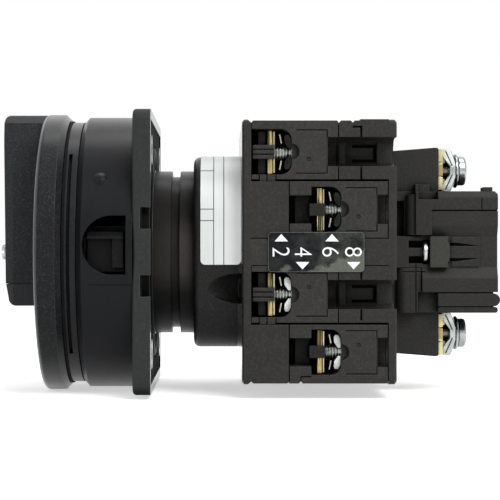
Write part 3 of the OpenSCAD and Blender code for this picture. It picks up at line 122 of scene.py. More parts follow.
class Finish(Nodes):
    """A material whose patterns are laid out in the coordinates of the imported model."""

    def __init__(self, name):
        self.material = bpy.data.materials.new(name)
        self.material.use_nodes = True
        super().__init__(self.material.node_tree)
        self.place = self.add("ShaderNodeTexCoord").outputs["Object"]

    def axes(self):
        """The X, Y and Z of a point on the piece."""
        return self.add("ShaderNodeSeparateXYZ", {0: self.place}).outputs

    def stretched(self, *scale):
        return self.add("ShaderNodeMapping", {"Vector": self.place, "Scale": scale}).outputs[0]

    def noise(self, scale, detail=2.0, roughness=0.5, at=None):
        return self.add("ShaderNodeTexNoise", {"Vector": at or self.place, "Scale": scale, "Detail": detail,
                                               "Roughness": roughness}).outputs["Fac"]

    def wander(self, noise, to_low, to_high):
        """A value that moves between two others with a noise, most of which lies in 0.3..0.7."""
        return self.ramp(noise, 0.3, 0.7, to_low, to_high)

    def between(self, share, first, second):
        """A colour between two colours, for which the sockets are 6 and 7 going in and 2 coming out."""
        return self.add("ShaderNodeMix", {0: share, 6: first, 7: second}, data_type="RGBA").outputs[2]

    def over(self, shade, mask, share, tone):
        """A shade with a tone laid over it, as strongly as the share says where the mask is 1."""
        return self.between(self.times(mask, share), shade, tone)

    def mottled(self, noise, base, tones, span=(0.3, 0.7)):
        """From the darker to the paler of two tones of the base colour, as the noise goes over its span."""
        return self.between(self.ramp(noise, *span), lighter(base, tones[0]), lighter(base, tones[1]))

    def rounded_edges(self, radius):
        """The surface direction with every edge rounded off in shading."""
        return self.add("ShaderNodeBevel", {"Radius": radius}, samples=6).outputs[0]

    def edge_share(self, soft_normal, low=0.01, high=0.25):
        """Near 1 on edges and 0 on flats, from how far the rounded direction leaves the true one."""
        true = self.add("ShaderNodeNewGeometry").outputs["Normal"]
        same = self.add("ShaderNodeVectorMath", {0: soft_normal, 1: true}, operation="DOT_PRODUCT")
        return self.ramp(self.minus(1.0, same.outputs["Value"]), low, high)

    def shut_in(self, reach):
        """Near 1 in seams, slots and corners and 0 where a surface lies open, as far as light reaches in."""
        lit = self.add("ShaderNodeAmbientOcclusion", {"Distance": reach}, samples=4).outputs["AO"]
        return self.ramp(lit, 0.35, 0.85, 1.0, 0.0)

    def inside(self, low, high, blur=0.06 * MM):
        """1 inside a box given by its lowest and highest corner, and 0 outside it."""
        share = 1.0
        for axis, start, end in zip(self.axes(), low, high):
            share = self.times(share, self.ramp(axis, start - blur, start + blur))
            share = self.times(share, self.ramp(axis, end - blur, end + blur, 1.0, 0.0))
        return share

    def bump(self, height, depth, normal=None):
        inputs = {"Height": height, "Distance": depth, "Strength": 1.0}
        if normal is not None:
            inputs["Normal"] = normal
        return self.add("ShaderNodeBump", inputs).outputs[0]

    def surface(self, inputs):
        shader = self.add("ShaderNodeBsdfPrincipled", inputs)
        self.add("ShaderNodeOutputMaterial", {"Surface": shader.outputs[0]})
        return self.material


def colour(r, g, b):
    return (r, g, b, 1.0)


def lighter(c, factor):
    return (c[0] * factor, c[1] * factor, c[2] * factor, 1.0)


# The plastics and rubbers

# Levels of the grain: pits lie below the first pair, and specks above the second; crisp widens both bounds
PITS = (0.41, 0.40)
SPECKS = (0.59, 0.59)
# How dark or pale the marks are, against the base colour
PIT_TONE = 0.25
SPECK_TONE = 3.6
SCUFF_TONE = 3.0
# the tone of the painted shade in seams, slots and corners
HOLLOW_SHADE_TONE = 0.10
SCUFF_LINES = (260.0, 900.0, 420.0)  # scuffs to a metre on each axis
# A painted highlight on a rim fades out over this stretch behind its lowest X, and this far in from its
# radius
RIM_BACK = (0.5 * MM, 0.9 * MM)
RIM_WIDTH = 1.1 * MM


def moulded_plastic(name, base, roughness, grain_size, grain_depth, edge=0.3 * MM, specular=0.2, speckle=0.25,
                    paling=0.30, edge_tone=4.5, crisp=0.09, reach=2.2 * MM, patches=(), polish=None, rim=None,
                    skin=0.0):
    """Moulded thermoplastic: spark-eroded grain, faint flow clouds, scuffs, edges made paler by wear and by a
    painted highlight, and painted shade in seams.

    Speckle is how strongly the grain's pits and specks show, and crisp how sharp they are: the less, the
    sharper. Paling says how far edges turn towards their paler edge_tone, partly as wear and partly as a
    painted highlight, and reach how far light gets into seams and slots, which sets the painted shade there.
    Patches are boxes of another colour, and polish is a box in which the plastic is smooth. A rim is a lowest
    X and a radius about the axis, where a rounded edge carries a painted highlight. Skin is how much of a
    smooth outer skin shows at flat angles.
    """
    f = Finish(name)
    soft = f.rounded_edges(edge)
    edge_wear_and_highlight = f.edge_share(soft)
    grain = f.noise(1.0 / grain_size, detail=3.0, roughness=0.65)
    clouds = f.noise(45.0, detail=4.0, roughness=0.55)
    scuffs = f.ramp(f.noise(1.0, detail=5.0, roughness=0.7, at=f.stretched(*SCUFF_LINES)), 0.56, 0.72)
    shade = f.mottled(clouds, base, (0.80, 1.20))
    for low, high, tone, *blur in patches:
        shade = f.between(f.inside(low, high, *blur), shade, tone)
    pits = f.ramp(grain, PITS[0] - crisp, PITS[1] + crisp, 1.0, 0.0)
    shade = f.over(shade, pits, speckle, lighter(base, PIT_TONE))
    specks = f.ramp(grain, SPECKS[0] - crisp, SPECKS[1] + crisp)
    shade = f.over(shade, specks, speckle, lighter(base, SPECK_TONE))
    # a painted highlight along the rounded rim
    if rim is not None:
        x, y, z = f.axes()
        off_axis = f.math("SQRT", f.plus(f.times(y, y), f.times(z, z)))
        front = f.ramp(x, rim[0] + RIM_BACK[0], rim[0] + RIM_BACK[1], 1.0, 0.0)
        edge_wear_and_highlight = f.most(edge_wear_and_highlight, f.times(front, f.ramp(off_axis, rim[1] - RIM_WIDTH, rim[1])))
    # edges turned paler: partly wear, partly a painted highlight
    shade = f.over(shade, edge_wear_and_highlight, paling, lighter(base, edge_tone))
    shade = f.over(shade, scuffs, 0.16, lighter(base, SCUFF_TONE))
    # painted shade in seams, slots and corners
    shade_in_hollows = f.shut_in(reach)
    shade = f.over(shade, shade_in_hollows, 0.85, lighter(base, HOLLOW_SHADE_TONE))
    gloss = f.wander(clouds, roughness - 0.05, roughness + 0.06)
    gloss = f.plus(gloss, f.times(f.wander(grain, -1.0, 1.0), 0.06))
    gloss = f.minus(gloss, f.times(edge_wear_and_highlight, 0.10))
    gloss = f.plus(gloss, f.times(shade_in_hollows, 0.40), clamp=True)
    if polish is not None:
        gloss = f.times(gloss, f.ramp(f.inside(*polish), 0.0, 1.0, 1.0, 0.22))
    inputs = {"Base Color": shade, "Roughness": gloss, "Specular IOR Level": specular,
              "Normal": f.bump(grain, grain_depth, soft)}
    if skin > 0.0:
        glancing = f.add("ShaderNodeLayerWeight").outputs["Facing"]
        inputs["Coat Weight"] = f.ramp(glancing, 0.35, 0.75, 0.0, skin)
        inputs["Coat Roughness"] = 0.22
    return f.surface(inputs)


def block_plastic(name, base, roughness, **more):
    """The coarser grey plastic of the contact block, alike on all its mouldings but for the shade."""
    return moulded_plastic(name, base, roughness, 0.50 * MM, 0.045 * MM, speckle=0.30, paling=0.40, **more)


def soft_rubber(name, base, roughness, specular, edge_tone=1.0):
    """Rubber with a bloom: matt, finely pitted, paler where it has aged, and edges turned to edge_tone, a
    painted highlight where that is paler.
    """
    f = Finish(name)
    soft = f.rounded_edges(0.25 * MM)
    pits = f.noise(2600.0, detail=3.0, roughness=0.7)
    bloom = f.ramp(f.noise(110.0, detail=5.0, roughness=0.6), 0.4, 0.75)
    shade = f.between(bloom, base, lighter(base, 1.35))
    # edges turned to edge_tone, a painted highlight where that is paler than the base
    shade = f.between(f.edge_share(soft), shade, lighter(base, edge_tone))
    return f.surface({"Base Color": shade, "Roughness": f.wander(pits, roughness - 0.06, roughness + 0.08),
                      "Specular IOR Level": specular, "Normal": f.bump(pits, 0.012 * MM, soft)})


# The metals

SCRATCH_LINES = (700.0, 5200.0, 900.0)  # scratches in the plating, to a metre on each axis
# How dark the painted shade in hollows and the painted shade on the upper terminals' plating are, against the
# base colour
ZINC_HOLLOW_SHADE_TONE = 0.06
UPPER_SHADE_TONE = 0.008
UPPER_SHADE_ABOUT = 2.0 * MM  # painted shade on the plating grows from this far below the axis to this far above it


def drawn_metal(name, base, roughness, along, tarnish=None, tarnish_share=0.5, streaks=(0.86, 1.08),
                streak_span=(0.36, 0.62), band=None):
    """Sheet or bar metal: fine lines from rolling, soft blotches, a painted highlight on the edges, painted
    shade in the hollows, and tarnish where given.

    Along gives the lines to a metre on each axis. A band is a height above and below the axis, half of its
    width, and the colour that the metal has there.
    """
    f = Finish(name)
    soft = f.rounded_edges(0.12 * MM)
    lines = f.noise(1.0, detail=3.0, roughness=0.6, at=f.stretched(*along))
    blotch = f.noise(220.0, detail=4.0, roughness=0.6)
    shade = f.mottled(lines, base, streaks, streak_span)
    if tarnish is not None:
        shade = f.over(shade, f.ramp(blotch, 0.42, 0.66), tarnish_share, tarnish)
    if band is not None:
        height, half_width, band_tone = band
        away = f.apart(f.math("ABSOLUTE", f.axes()[2]), height)
        shade = f.between(f.ramp(away, half_width * 0.9, half_width * 1.1, 0.8, 0.0), shade, band_tone)
    # a painted highlight on the edges, then painted shade in the hollows
    shade = f.over(shade, f.edge_share(soft), 0.35, lighter(base, 1.2))
    shade = f.over(shade, f.shut_in(3.0 * MM), 0.80, lighter(base, HOLLOW_SHADE_TONE))
    gloss = f.plus(f.wander(blotch, roughness - 0.05, roughness + 0.08),
                   f.times(f.wander(lines, -1.0, 1.0), 0.04), clamp=True)
    return f.surface({"Base Color": shade, "Metallic": 1.0, "Roughness": gloss,
                      "Normal": f.bump(lines, 0.006 * MM, soft)})


def zinc_plate(name, base, roughness=0.22, edge_reflection=0.6, edge_reflection_tone=0.14, hollow_shade=0.90, reach=3.0 * MM,
               upper_shade=0.0, edge=0.15 * MM):
    """Bright zinc plating over turned and stamped steel: orange peel, passivation clouds, a painted
    reflection on the edges and painted shade in the hollows.

    Edge_reflection is how far the edges turn to their own tone, a painted reflection that is dark or bright
    by that tone, and hollow_shade how dark the painted shade in the hollows is. Upper_shade says how much
    darker the plating of the upper terminals is painted than that of the lower ones, as painted shade.
    """
    f = Finish(name)
    soft = f.rounded_edges(edge)
    peel = f.noise(1600.0, detail=2.0)
    clouds = f.noise(300.0, detail=4.0, roughness=0.6)
    shade = f.mottled(clouds, base, (0.60, 1.12), (0.35, 0.65))
    # a painted reflection on the edges, dark or bright by its tone
    shade = f.over(shade, f.edge_share(soft, 0.02, 0.22), edge_reflection, lighter(base, edge_reflection_tone))
    # painted shade over the upper terminals' plating
    if upper_shade > 0.0:
        upper = f.ramp(f.axes()[2], -UPPER_SHADE_ABOUT, UPPER_SHADE_ABOUT, 0.0, upper_shade)
        shade = f.between(upper, shade, lighter(base, UPPER_SHADE_TONE))
    # painted shade in the hollows
    shade = f.over(shade, f.shut_in(reach), hollow_shade, lighter(base, ZINC_HOLLOW_SHADE_TONE))
    scratches = f.ramp(f.noise(1.0, detail=2.0, at=f.stretched(*SCRATCH_LINES)), 0.62, 0.70)
    gloss = f.plus(f.wander(clouds, roughness - 0.05, roughness + 0.10), f.times(scratches, 0.16), clamp=True)
    return f.surface({"Base Color": shade, "Metallic": 1.0, "Roughness": gloss,
                      "Normal": f.bump(peel, 0.004 * MM, soft)})


# The films and the ink

# Rules printed on the rating label: two along its height and three short ones across its first column
RULE_X = (14.5 * MM, 16.9 * MM)
RULE_Z = (19.3 * MM, 10.1 * MM, 7.4 * MM)
RULE_W = 0.21 * MM
RULE_END = 0.02 * MM  # how softly the short ones end
# Painted light makes the film paler over this stretch along X, and painted shade darker over this one up Z
PAINTED_LIGHT_X = (13.0 * MM, 20.5 * MM)
PAINTED_SHADE_Z = (12.0 * MM, 19.0 * MM)


def silver_film(name):
    """The rating label: silver film with printed rules, with painted light towards the flange and painted
    shade at the top.
    """
    f = Finish(name)
    x, _, z = f.axes()

    def rule(coordinate, at):
        return f.ramp(f.apart(coordinate, at), RULE_W * 0.35, RULE_W * 0.65, 1.0, 0.0)

    first_column = f.ramp(x, RULE_X[0] - RULE_END, RULE_X[0] + RULE_END, 1.0, 0.0)
    ink = f.most(rule(x, RULE_X[0]), rule(x, RULE_X[1]))
    for height in RULE_Z:
        ink = f.most(ink, f.times(rule(z, height), first_column))
    brushed = f.noise(1.0, detail=3.0, at=f.stretched(3600.0, 60.0, 60.0))
    clouds = f.noise(90.0, detail=3.0)
    # painted light makes the film paler towards the flange, and painted shade darker at the top
    film = f.between(f.ramp(x, *PAINTED_LIGHT_X), colour(0.64, 0.67, 0.66), colour(0.93, 0.96, 0.95))
    film = f.between(f.ramp(z, *PAINTED_SHADE_Z, 0.0, 0.40), film, colour(0.38, 0.40, 0.40))
    film = f.between(f.ramp(clouds, 0.35, 0.65, 0.0, 0.15), film, colour(0.40, 0.43, 0.44))
    film = f.over(film, ink, 0.95, colour(0.02, 0.022, 0.025))
    return f.surface({"Base Color": film, "Metallic": 0.20, "Roughness": f.wander(brushed, 0.44, 0.56),
                      "Normal": f.bump(brushed, 0.003 * MM)})


# Wear of the number plate: where the edge of its scuffed corner begins and how steeply that edge rises, and
# the places of a fold, of a grey veil and of a scuffed spot
SCUFF_START = (39.3 * MM, -3.7 * MM)
SCUFF_SLOPE = 0.42
FOLD_X = 39.8 * MM
FOLD_HALF = 0.7 * MM
VEIL_X = 39.4 * MM
SPOT = (31.4 * MM, -3.9 * MM)
SPOT_HALF = 0.6 * MM
TEAR = 6.0 * MM  # how far the noise can shift the edge of a scuff


def navy_film(name):
    """The number plate: a dark film with a painted highlight on its rim, scuffed grey over its last corner
    and along a fold.
    """
    f = Finish(name)
    x, _, z = f.axes()
    torn = f.minus(f.noise(330.0, detail=6.0, roughness=0.65), 0.5)
    fine = f.noise(2600.0, detail=4.0, roughness=0.7)

    def scuffed(depth, edge=0.5 * MM):
        """1 where depth is above nought, with a torn edge."""
        return f.ramp(f.plus(depth, f.times(torn, TEAR)), -edge, edge)

    rising = f.times(f.minus(x, SCUFF_START[0]), SCUFF_SLOPE)
    corner = scuffed(f.plus(f.minus(SCUFF_START[1], z), rising))
    fold = scuffed(f.minus(FOLD_HALF, f.apart(x, FOLD_X)), 1.2 * MM)
    off_spot = f.plus(f.times(f.apart(x, SPOT[0]), 0.5), f.apart(z, SPOT[1]))
    spot = scuffed(f.minus(SPOT_HALF, off_spot))
    veil = f.times(f.ramp(x, VEIL_X, VEIL_X + MM), f.ramp(torn, -0.10, 0.14, 0.03, 0.40))
    paling = f.most(f.most(corner, f.times(spot, 0.8)), f.most(f.times(fold, 0.35), veil))
    paling = f.times(paling, f.ramp(fine, 0.30, 0.62, 0.55, 1.0))
    haze = f.ramp(f.noise(230.0, detail=5.0, roughness=0.6), 0.46, 0.62, 0.0, 0.13)
    paling = f.most(paling, haze)
    shade = f.between(paling, colour(0.0014, 0.0023, 0.0040), colour(0.112, 0.122, 0.100))
    # a painted highlight along the plate's edges
    soft = f.rounded_edges(0.22 * MM)
    shade = f.between(f.edge_share(soft, 0.02, 0.15), shade, colour(0.26, 0.28, 0.27))
    return f.surface({"Base Color": shade, "Roughness": f.ramp(paling, 0.0, 1.0, 0.30, 0.62),
                      "Specular IOR Level": 0.14, "Normal": f.bump(fine, 0.004 * MM, soft)})


def printed_white(name):
    """Screen-printed white ink: slightly uneven, with pinholes that let the film through."""
    f = Finish(name)
    holes = f.ramp(f.noise(5200.0, detail=2.0), 0.66, 0.74)
    shade = f.between(holes, colour(0.80, 0.82, 0.82), colour(0.22, 0.24, 0.27))
    return f.surface({"Base Color": shade, "Roughness": f.wander(f.noise(900.0), 0.38, 0.55)})


# Where a moulding differs from the rest of it: [lowest corner, highest corner, colour, at times a soft edge]

SIDE = 40 * MM  # past every side of the switch
FRONT = -60 * MM  # ahead of the grip
TOP = 60 * MM  # above it

# Painted shade darkens the grip's upper bevel and its seam over the padlock slide
GRIP_BEVEL_SHADE = ((FRONT, -SIDE, 31.2 * MM), (0, SIDE, TOP), colour(0.0040, 0.0044, 0.0050))
GRIP_LOW_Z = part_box("grip")[0][2]
GRIP_SEAM_SHADE = ((FRONT, -SIDE, GRIP_LOW_Z - MM), (0, SIDE, GRIP_LOW_Z + 0.4 * MM),
             colour(0.0012, 0.0013, 0.0014))

# Behind the panel plate's rim lie pockets darkened with painted shade, and its back is smooth
PLATE_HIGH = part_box("frame_plate")[1]  # its highest corner, which lies on its back
POCKET_EDGE = PLATE_HIGH[1] - 0.8 * MM
POCKET_SHADE = ((PLATE_HIGH[0] - 3.4 * MM, -POCKET_EDGE, -POCKET_EDGE),
           (PLATE_HIGH[0] - 0.2 * MM, POCKET_EDGE, POCKET_EDGE), colour(0.0022, 0.0023, 0.0023))
PLATE_BACK = ((PLATE_HIGH[0] - 0.15 * MM, -SIDE, -SIDE), (PLATE_HIGH[0] + MM, SIDE, SIDE))

# The neck has a paler brown painted sheen at half its height, stronger on its second ring, and painted shade
# that makes it nearly black below
NECK_FRONT = -5 * MM
SECOND_RING_X = 4.2 * MM
NECK_SHEEN = ((NECK_FRONT, -SIDE, -7.5 * MM), (SECOND_RING_X, 0, 4.5 * MM),
            colour(0.0200, 0.0180, 0.0163), 2.5 * MM)
SECOND_RING_SHEEN = ((SECOND_RING_X, -SIDE, -7.5 * MM), (14 * MM, 0, 6.0 * MM),
                   colour(0.0400, 0.0360, 0.0330), 2.5 * MM)
NECK_LOW_SHADE = ((NECK_FRONT, -SIDE, -15.5 * MM), (12 * MM, 0, -10.5 * MM),
            colour(0.0006, 0.0005, 0.0005), 2.0 * MM)

# The collar comes out darker than the flange it is moulded with, and painted shade darkens it further low
# down;
# the flange's face is smooth
COLLAR_BACK = 20.4 * MM
COLLAR = ((-10 * MM, -SIDE, -SIDE), (COLLAR_BACK, SIDE, SIDE), colour(0.0036, 0.0035, 0.0033))
COLLAR_LOW_SHADE = ((8 * MM, -SIDE, -18.5 * MM), (COLLAR_BACK, 0, -9.5 * MM),
              colour(0.0012, 0.0012, 0.0012), 1.5 * MM)
FLANGE_FACE = ((20.2 * MM, -SIDE, -SIDE), (21.4 * MM, SIDE, SIDE))

# Painted shade darkens the small blocks beside the second stage's windows, on the near side and, half a turn
# round, on the far one
BLOCK_X = (36.4 * MM, 40.7 * MM)
BLOCK_ROWS = ((8.0 * MM, 11.7 * MM), (-24.9 * MM, -21.1 * MM))
BLOCK_SHADE_TONE = colour(0.0030, 0.0029, 0.0027)
NEAR_BLOCK_SHADE = [((BLOCK_X[0], -SIDE, low), (BLOCK_X[1], 0, high), BLOCK_SHADE_TONE) for low, high in BLOCK_ROWS]
FAR_BLOCK_SHADE = [((BLOCK_X[0], 0, -high), (BLOCK_X[1], SIDE, -low), BLOCK_SHADE_TONE) for low, high in BLOCK_ROWS]

# The pad beside the rear fixing screw is paler
REAR_PAD = ((66.4 * MM, -17 * MM, -3.8 * MM), (71.3 * MM, -13 * MM, 3.8 * MM), colour(0.0330, 0.0345, 0.0280))

# The rounded front rim of the handle's disc, which carries a painted highlight, as its lowest X and its
# radius
disc_low, disc_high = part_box("handle_disc")
DISC_HIGHLIGHT_RIM = (disc_low[0], disc_high[1])

# The finishes, by material slot; the numbers of a plastic are its roughness, then its grain's size and depth
STAGE_TONE = colour(0.0175, 0.0170, 0.0156)
FINISHES = {
    "handle_black": moulded_plastic(
        "handle_black", colour(0.0078, 0.0085, 0.0094), 0.50, 0.42 * MM, 0.100 * MM, edge=0.45 * MM,
        speckle=0.95, specular=0.19, paling=0.20, crisp=0.05, patches=(GRIP_BEVEL_SHADE, GRIP_SEAM_SHADE)),
    "slide_black": moulded_plastic(
        "slide_black", colour(0.0090, 0.0100, 0.0114), 0.42, 0.45 * MM, 0.040 * MM, speckle=0.35),
    "housing_black": moulded_plastic(
        "housing_black", colour(0.0042, 0.0045, 0.0058), 0.42, 0.50 * MM, 0.020 * MM,
        speckle=0.15, specular=0.12, paling=0.35, reach=1.2 * MM, skin=0.55),
    # its edges carry a strong painted highlight, standing in for glints on the ribs
    "plate_black": moulded_plastic(
        "plate_black", colour(0.0142, 0.0152, 0.0150), 0.54, 0.45 * MM, 0.030 * MM, edge=0.20 * MM,
        speckle=0.20, paling=0.75, edge_tone=12.0, reach=5.5 * MM, patches=(POCKET_SHADE,), polish=PLATE_BACK),
    "neck_brown": moulded_plastic(
        "neck_brown", colour(0.0044, 0.0038, 0.0034), 0.42, 0.28 * MM, 0.014 * MM,
        specular=0.10, patches=(NECK_SHEEN, SECOND_RING_SHEEN, NECK_LOW_SHADE), skin=0.45),
    "block_grey": block_plastic(
        "block_grey", colour(0.0140, 0.0135, 0.0126), 0.56,
        patches=(COLLAR, COLLAR_LOW_SHADE), polish=FLANGE_FACE, skin=0.6),
    "stage_grey": block_plastic("stage_grey", STAGE_TONE, 0.58),
    "rear_grey": block_plastic("rear_grey", colour(0.0135, 0.0131, 0.0121), 0.56, patches=(REAR_PAD,)),
    "inner_white": moulded_plastic(
        "inner_white", colour(0.60, 0.57, 0.48), 0.48, 0.30 * MM, 0.010 * MM, speckle=0.0),
    "cam_red": moulded_plastic(
        "cam_red", colour(0.34, 0.035, 0.020), 0.42, 0.30 * MM, 0.010 * MM, speckle=0.05),
    # a pale edge_tone: a painted highlight on the gasket's edges
    "gasket_grey": soft_rubber("gasket_grey", colour(0.0026, 0.0027, 0.0025), 0.50, 0.06, edge_tone=60.0),
    "seal_black": soft_rubber("seal_black", colour(0.003, 0.003, 0.0035), 0.66, 0.08),
    "label_silver": silver_film("label_silver"),
    "number_navy": navy_film("number_navy"),
    "shaft_steel": drawn_metal("shaft_steel", colour(0.42, 0.43, 0.44), 0.34, (30.0, 2400.0, 2400.0)),
    "spring_steel": drawn_metal("spring_steel", colour(0.50, 0.51, 0.52), 0.26, (900.0, 900.0, 900.0)),
    "screw_zinc": zinc_plate("screw_zinc", colour(0.42, 0.45, 0.45)),
    "terminal_brass": drawn_metal(
        "terminal_brass", colour(0.46, 0.36, 0.15), 0.26, (1500.0, 60.0, 60.0),
        tarnish=colour(0.16, 0.09, 0.03), tarnish_share=0.6, streaks=(0.03, 1.45), streak_span=(0.46, 0.56)),
    "bridge_copper": drawn_metal(
        "bridge_copper", colour(0.66, 0.36, 0.18), 0.30, (60.0, 60.0, 2200.0),
        tarnish=colour(0.22, 0.10, 0.05)),
    "contact_silver": zinc_plate("contact_silver", colour(0.82, 0.82, 0.80), 0.30, edge_reflection=0.2),
}
for part in frame["record"]["subparts"]:
    frame["nodes"][part["node"]].material_slots[0].material = FINISHES[part["material_slot"]]

# Nodes that differ from the rest of their slot: the disc's rim carries a painted highlight, the ring and the
# latch have their own blacks, the washers and threads their own plating, with painted shade on the upper
# saddle washers, the second stage has painted shade on its blocks, and the rear plates are pale with a brown
# band
OTHER_FINISHES = {
    # a painted highlight on the disc's rim and edges
    "handle_disc": moulded_plastic(
        "disc_black", colour(0.0060, 0.0064, 0.0070), 0.45, 0.42 * MM, 0.090 * MM, speckle=0.85,
        specular=0.13, paling=0.80, edge_tone=15.0, crisp=0.05, reach=1.2 * MM, rim=DISC_HIGHLIGHT_RIM, skin=0.85),
    "index_ring": moulded_plastic(
        "ring_black", colour(0.0085, 0.0090, 0.0100), 0.40, 0.50 * MM, 0.030 * MM,
        specular=0.12, paling=0.40, reach=1.2 * MM, skin=0.70),
    "window_latch": moulded_plastic(
        "latch_black", colour(0.0052, 0.0054, 0.0058), 0.32, 0.45 * MM, 0.020 * MM,
        speckle=0.10, specular=0.10, paling=0.45, edge_tone=9.0),
    "clamp_washers": zinc_plate(
        "washer_zinc", colour(0.46, 0.43, 0.35), edge_reflection=0.3, hollow_shade=0.6, reach=1.0 * MM),
    "stage_2_housing": block_plastic("stage_2_grey", STAGE_TONE, 0.58, patches=NEAR_BLOCK_SHADE + FAR_BLOCK_SHADE),
    # painted shade on the upper washers, with a painted highlight on their edges
    "saddle_washers": zinc_plate(
        "upper_shaded_zinc", colour(0.62, 0.65, 0.64), 0.30, edge_reflection=0.45, edge_reflection_tone=1.3, upper_shade=0.99),
    # dark painted reflections along the edges
    "rear_saddle_washers": zinc_plate(
        "bright_zinc", colour(0.57, 0.60, 0.59), 0.30, edge_reflection=0.95, edge_reflection_tone=0.04, hollow_shade=0.85,
        reach=2.0 * MM, edge=0.32 * MM),
    "terminal_screws_1": zinc_plate(
        "thread_zinc", colour(0.60, 0.63, 0.61), 0.24, edge_reflection=0.0, hollow_shade=0.97, reach=0.7 * MM),
    "rear_terminal_plates": drawn_metal(
        "pale_brass", colour(0.68, 0.63, 0.33), 0.34, (1400.0, 300.0, 300.0),
        tarnish=colour(0.30, 0.20, 0.08), tarnish_share=0.35, streaks=(0.80, 1.10),
        band=(20.0 * MM, 1.3 * MM, colour(0.36, 0.24, 0.10))),
}
OTHER_FINISHES["terminal_screws_2"] = OTHER_FINISHES["terminal_screws_1"]
for node, finish in OTHER_FINISHES.items():
    frame["nodes"][node].material_slots[0].material = finish


def in_scene(name, data):
    """A new object that holds a mesh, a curve, a light or a camera."""
    made = bpy.data.objects.new(name, data)
    bpy.context.scene.collection.objects.link(made)
    return made


def from_bmesh(name, bm, finish):
    """An object made of the shape in a bmesh, which is let go."""
    mesh = bpy.data.meshes.new(name)
    bm.to_mesh(mesh)
    bm.free()
    mesh.materials.append(finish)
    return in_scene(name, mesh)


def as_piece(name, bm, finish):
    """A piece of the switch, made of the shape in a bmesh with its finish."""
    made = from_bmesh(name, bm, finish)
    return made


# The printed markings on the number plate

NEAR_FACE_Y = -31.1 * MM  # outer face of the number plate
PRINT_T = 0.02 * MM  # thickness of the ink
# The digits read from top to bottom, so their tops point to +X: [digit, lowest X, highest X] in millimetres
DIGITS = (("2", 28.10, 32.05), ("4", 33.25, 37.20), ("6", 39.60, 43.45), ("8", 44.85, 48.75))
DIGIT_Z = (-1.05 * MM, 1.10 * MM)
LETTER_HALF_DEPTH = 0.5  # of a raw letter, whose height is about 1
LETTER_THINNED = -0.012  # how much the strokes of a raw letter are drawn in
# Arrowheads beside the digits: [middle X, Z of its base, Z of its tip] in millimetres
ARROWS = ((30.15, 2.45, 4.15), (41.85, 2.45, 4.15), (35.05, -2.30, -4.00), (46.85, -2.30, -4.00))
ARROW_HALF = 1.55 * MM
WHITE_INK = printed_white("printed_white")


def raw_letter(text):
    """The mesh of a letter as the type gives it, lying flat."""
    curve = bpy.data.curves.new("digit_" + text, "FONT")
    curve.body = text
    curve.extrude = LETTER_HALF_DEPTH
    curve.offset = LETTER_THINNED
    letter = in_scene("letter", curve)
    bpy.context.view_layer.update()
    mesh = bpy.data.meshes.new_from_object(letter)
    bpy.data.objects.remove(letter)
    bm = bmesh.new()
    bm.from_mesh(mesh)
    bpy.data.meshes.remove(mesh)
    return bm


def printed_digit(text, x_low, x_high):
    """A digit as a thin solid, fitted to its box on the number plate."""
    bm = raw_letter(text)
    low = Vector([min(v.co[i] for v in bm.verts) for i in range(3)])
    high = Vector([max(v.co[i] for v in bm.verts) for i in range(3)])
    width, height = high.x - low.x, high.y - low.y
    for v in bm.verts:
        across = (v.co.x - low.x) / width
        up = (v.co.y - low.y) / height
        v.co = Vector((x_low + (x_high - x_low) * up, NEAR_FACE_Y - PRINT_T * (v.co.z + LETTER_HALF_DEPTH),
                       DIGIT_Z[1] + (DIGIT_Z[0] - DIGIT_Z[1]) * across))
    bmesh.ops.remove_doubles(bm, verts=bm.verts, dist=MERGE)
    bmesh.ops.recalc_face_normals(bm, faces=bm.faces)
    return as_piece("plate_digit_" + text, bm, WHITE_INK)


def printed_arrow(number, x, z_base, z_tip):
    """An arrowhead as a thin solid: a triangle that is drawn out of the plate's face."""
    bm = bmesh.new()
    corners = [bm.verts.new((px, NEAR_FACE_Y, pz)) for px, pz in
               ((x - ARROW_HALF, z_base), (x + ARROW_HALF, z_base), (x, z_tip))]
    face = bm.faces.new(corners)
    raised = bmesh.ops.extrude_face_region(bm, geom=[face])["geom"]
    top = [v for v in raised if isinstance(v, bmesh.types.BMVert)]
    bmesh.ops.translate(bm, vec=(0.0, -PRINT_T, 0.0), verts=top)
    bmesh.ops.recalc_face_normals(bm, faces=bm.faces)
    return as_piece(f"plate_arrow_{number}", bm, WHITE_INK)


for text, low_mm, high_mm in DIGITS:
    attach(printed_digit(text, low_mm * MM, high_mm * MM), "root")
for number, (x_mm, base_mm, tip_mm) in enumerate(ARROWS, 1):
    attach(printed_arrow(number, x_mm * MM, base_mm * MM, tip_mm * MM), "root")


# The latch's spring, as a copy of the imported one


def pressed_spring():
    """A copy of the spring, which takes the place of the imported one."""
    bm = bmesh.new()
    bm.from_mesh(frame["nodes"]["latch_spring"].data)
    bmesh.ops.remove_doubles(bm, verts=bm.verts, dist=MERGE)
    spring = as_piece("pressed_spring", bm, FINISHES["spring_steel"])
    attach(spring, "root")
    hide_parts("latch_spring")
    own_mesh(spring)


pressed_spring()


# Studio

WHITE = colour(1.0, 1.0, 1.0)
FLOOR_HALF = 6.0  # half of its side
FLOOR_TONE = colour(0.86, 0.86, 0.86)
FLOOR_GLOW = 0.55  # what the floor adds where it is seen
SKY_LIGHT = 0.48  # how strongly the surroundings light the switch, and how bright they look
SKY_SEEN = 1.0
MIDDLE = (0.016, 0.0, 0.0)  # of the switch, where the lights and the camera look
# Soft lights: [name, place, width and height, watts]
LAMPS = (("key", (0.32, -0.52, 0.55), (0.45, 0.40), 5.2),
         ("fill", (-0.55, -0.45, 0.20), (0.45, 0.45), 1.1),
         ("top", (0.10, 0.10, 0.80), (0.60, 0.35), 2.0))
floor_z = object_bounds()[0][2]


def seen_directly(f):
    """1 for rays from the camera, in a mirror or through glass, and 0 for light that only falls on things."""
    path = f.add("ShaderNodeLightPath").outputs
    seen = f.plus(path["Is Camera Ray"], path["Is Glossy Ray"])
    return f.plus(seen, path["Is Transmission Ray"], clamp=True)


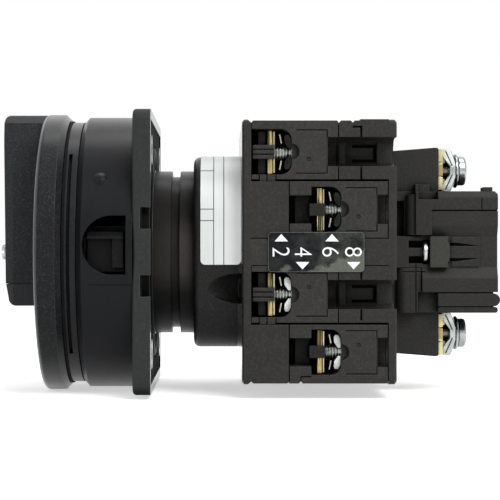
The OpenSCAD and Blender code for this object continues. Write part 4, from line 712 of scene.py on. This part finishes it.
def floor_white():
    """A pale ground that looks white from afar and still holds the switch's shadow."""
    material = bpy.data.materials.new("floor_white")
    material.use_nodes = True
    f = Nodes(material.node_tree)
    diffuse = f.add("ShaderNodeBsdfDiffuse", {"Color": FLOOR_TONE})
    glow = f.add("ShaderNodeEmission", {"Color": WHITE, "Strength": f.times(seen_directly(f), FLOOR_GLOW)})
    both = f.add("ShaderNodeAddShader", {0: diffuse.outputs[0], 1: glow.outputs[0]})
    f.add("ShaderNodeOutputMaterial", {"Surface": both.outputs[0]})
    return material


def studio_floor():
    bm = bmesh.new()
    bmesh.ops.create_grid(bm, x_segments=1, y_segments=1, size=FLOOR_HALF)
    bmesh.ops.translate(bm, vec=(0.0, 0.0, floor_z), verts=bm.verts)
    floor = from_bmesh("floor", bm, floor_white())


def white_world():
    """White all round, which looks brighter than it lights."""
    world = bpy.data.worlds.new("studio")
    bpy.context.scene.world = world
    world.use_nodes = True
    f = Nodes(world.node_tree)
    strength = f.ramp(seen_directly(f), 0.0, 1.0, SKY_LIGHT, SKY_SEEN)
    sky = f.add("ShaderNodeBackground", {"Color": WHITE, "Strength": strength})
    f.add("ShaderNodeOutputWorld", {"Surface": sky.outputs[0]})


def soft_box(name, place, size, watts):
    """A rectangular soft light that looks at the middle of the switch."""
    light = bpy.data.lights.new(name, "AREA")
    light.shape = "RECTANGLE"
    light.size, light.size_y = size
    light.energy = watts
    lamp = in_scene(name, light)
    turned = (Vector(MIDDLE) - Vector(place)).to_track_quat("-Z", "Y").to_matrix().to_4x4()
    lamp.matrix_world = Matrix.Translation(place) @ turned


studio_floor()
white_world()
for name, place, size, watts in LAMPS:
    soft_box(name, place, size, watts)


# The camera stands square to the near side; the shift puts the switch where the photograph has it

CAMERA_PLACE = (MIDDLE[0], -0.410, 0.0)
CAMERA_LENS = 118.2  # millimetres, as the sensor
SENSOR_WIDTH = 36.0
CAMERA_SHIFT = (0.060, 0.004)
CLIP = (0.01, 50.0)
LEVEL = (math.radians(90.0), 0.0, 0.0)  # looks along +Y

camera_data = bpy.data.cameras.new("camera")
camera_data.lens = CAMERA_LENS
camera_data.sensor_width = SENSOR_WIDTH
camera_data.shift_x, camera_data.shift_y = CAMERA_SHIFT
camera_data.clip_start, camera_data.clip_end = CLIP
camera = in_scene("camera", camera_data)
camera.location = CAMERA_PLACE
camera.rotation_euler = LEVEL
bpy.context.scene.camera = camera
bpy.context.scene.view_settings.view_transform = "Standard"
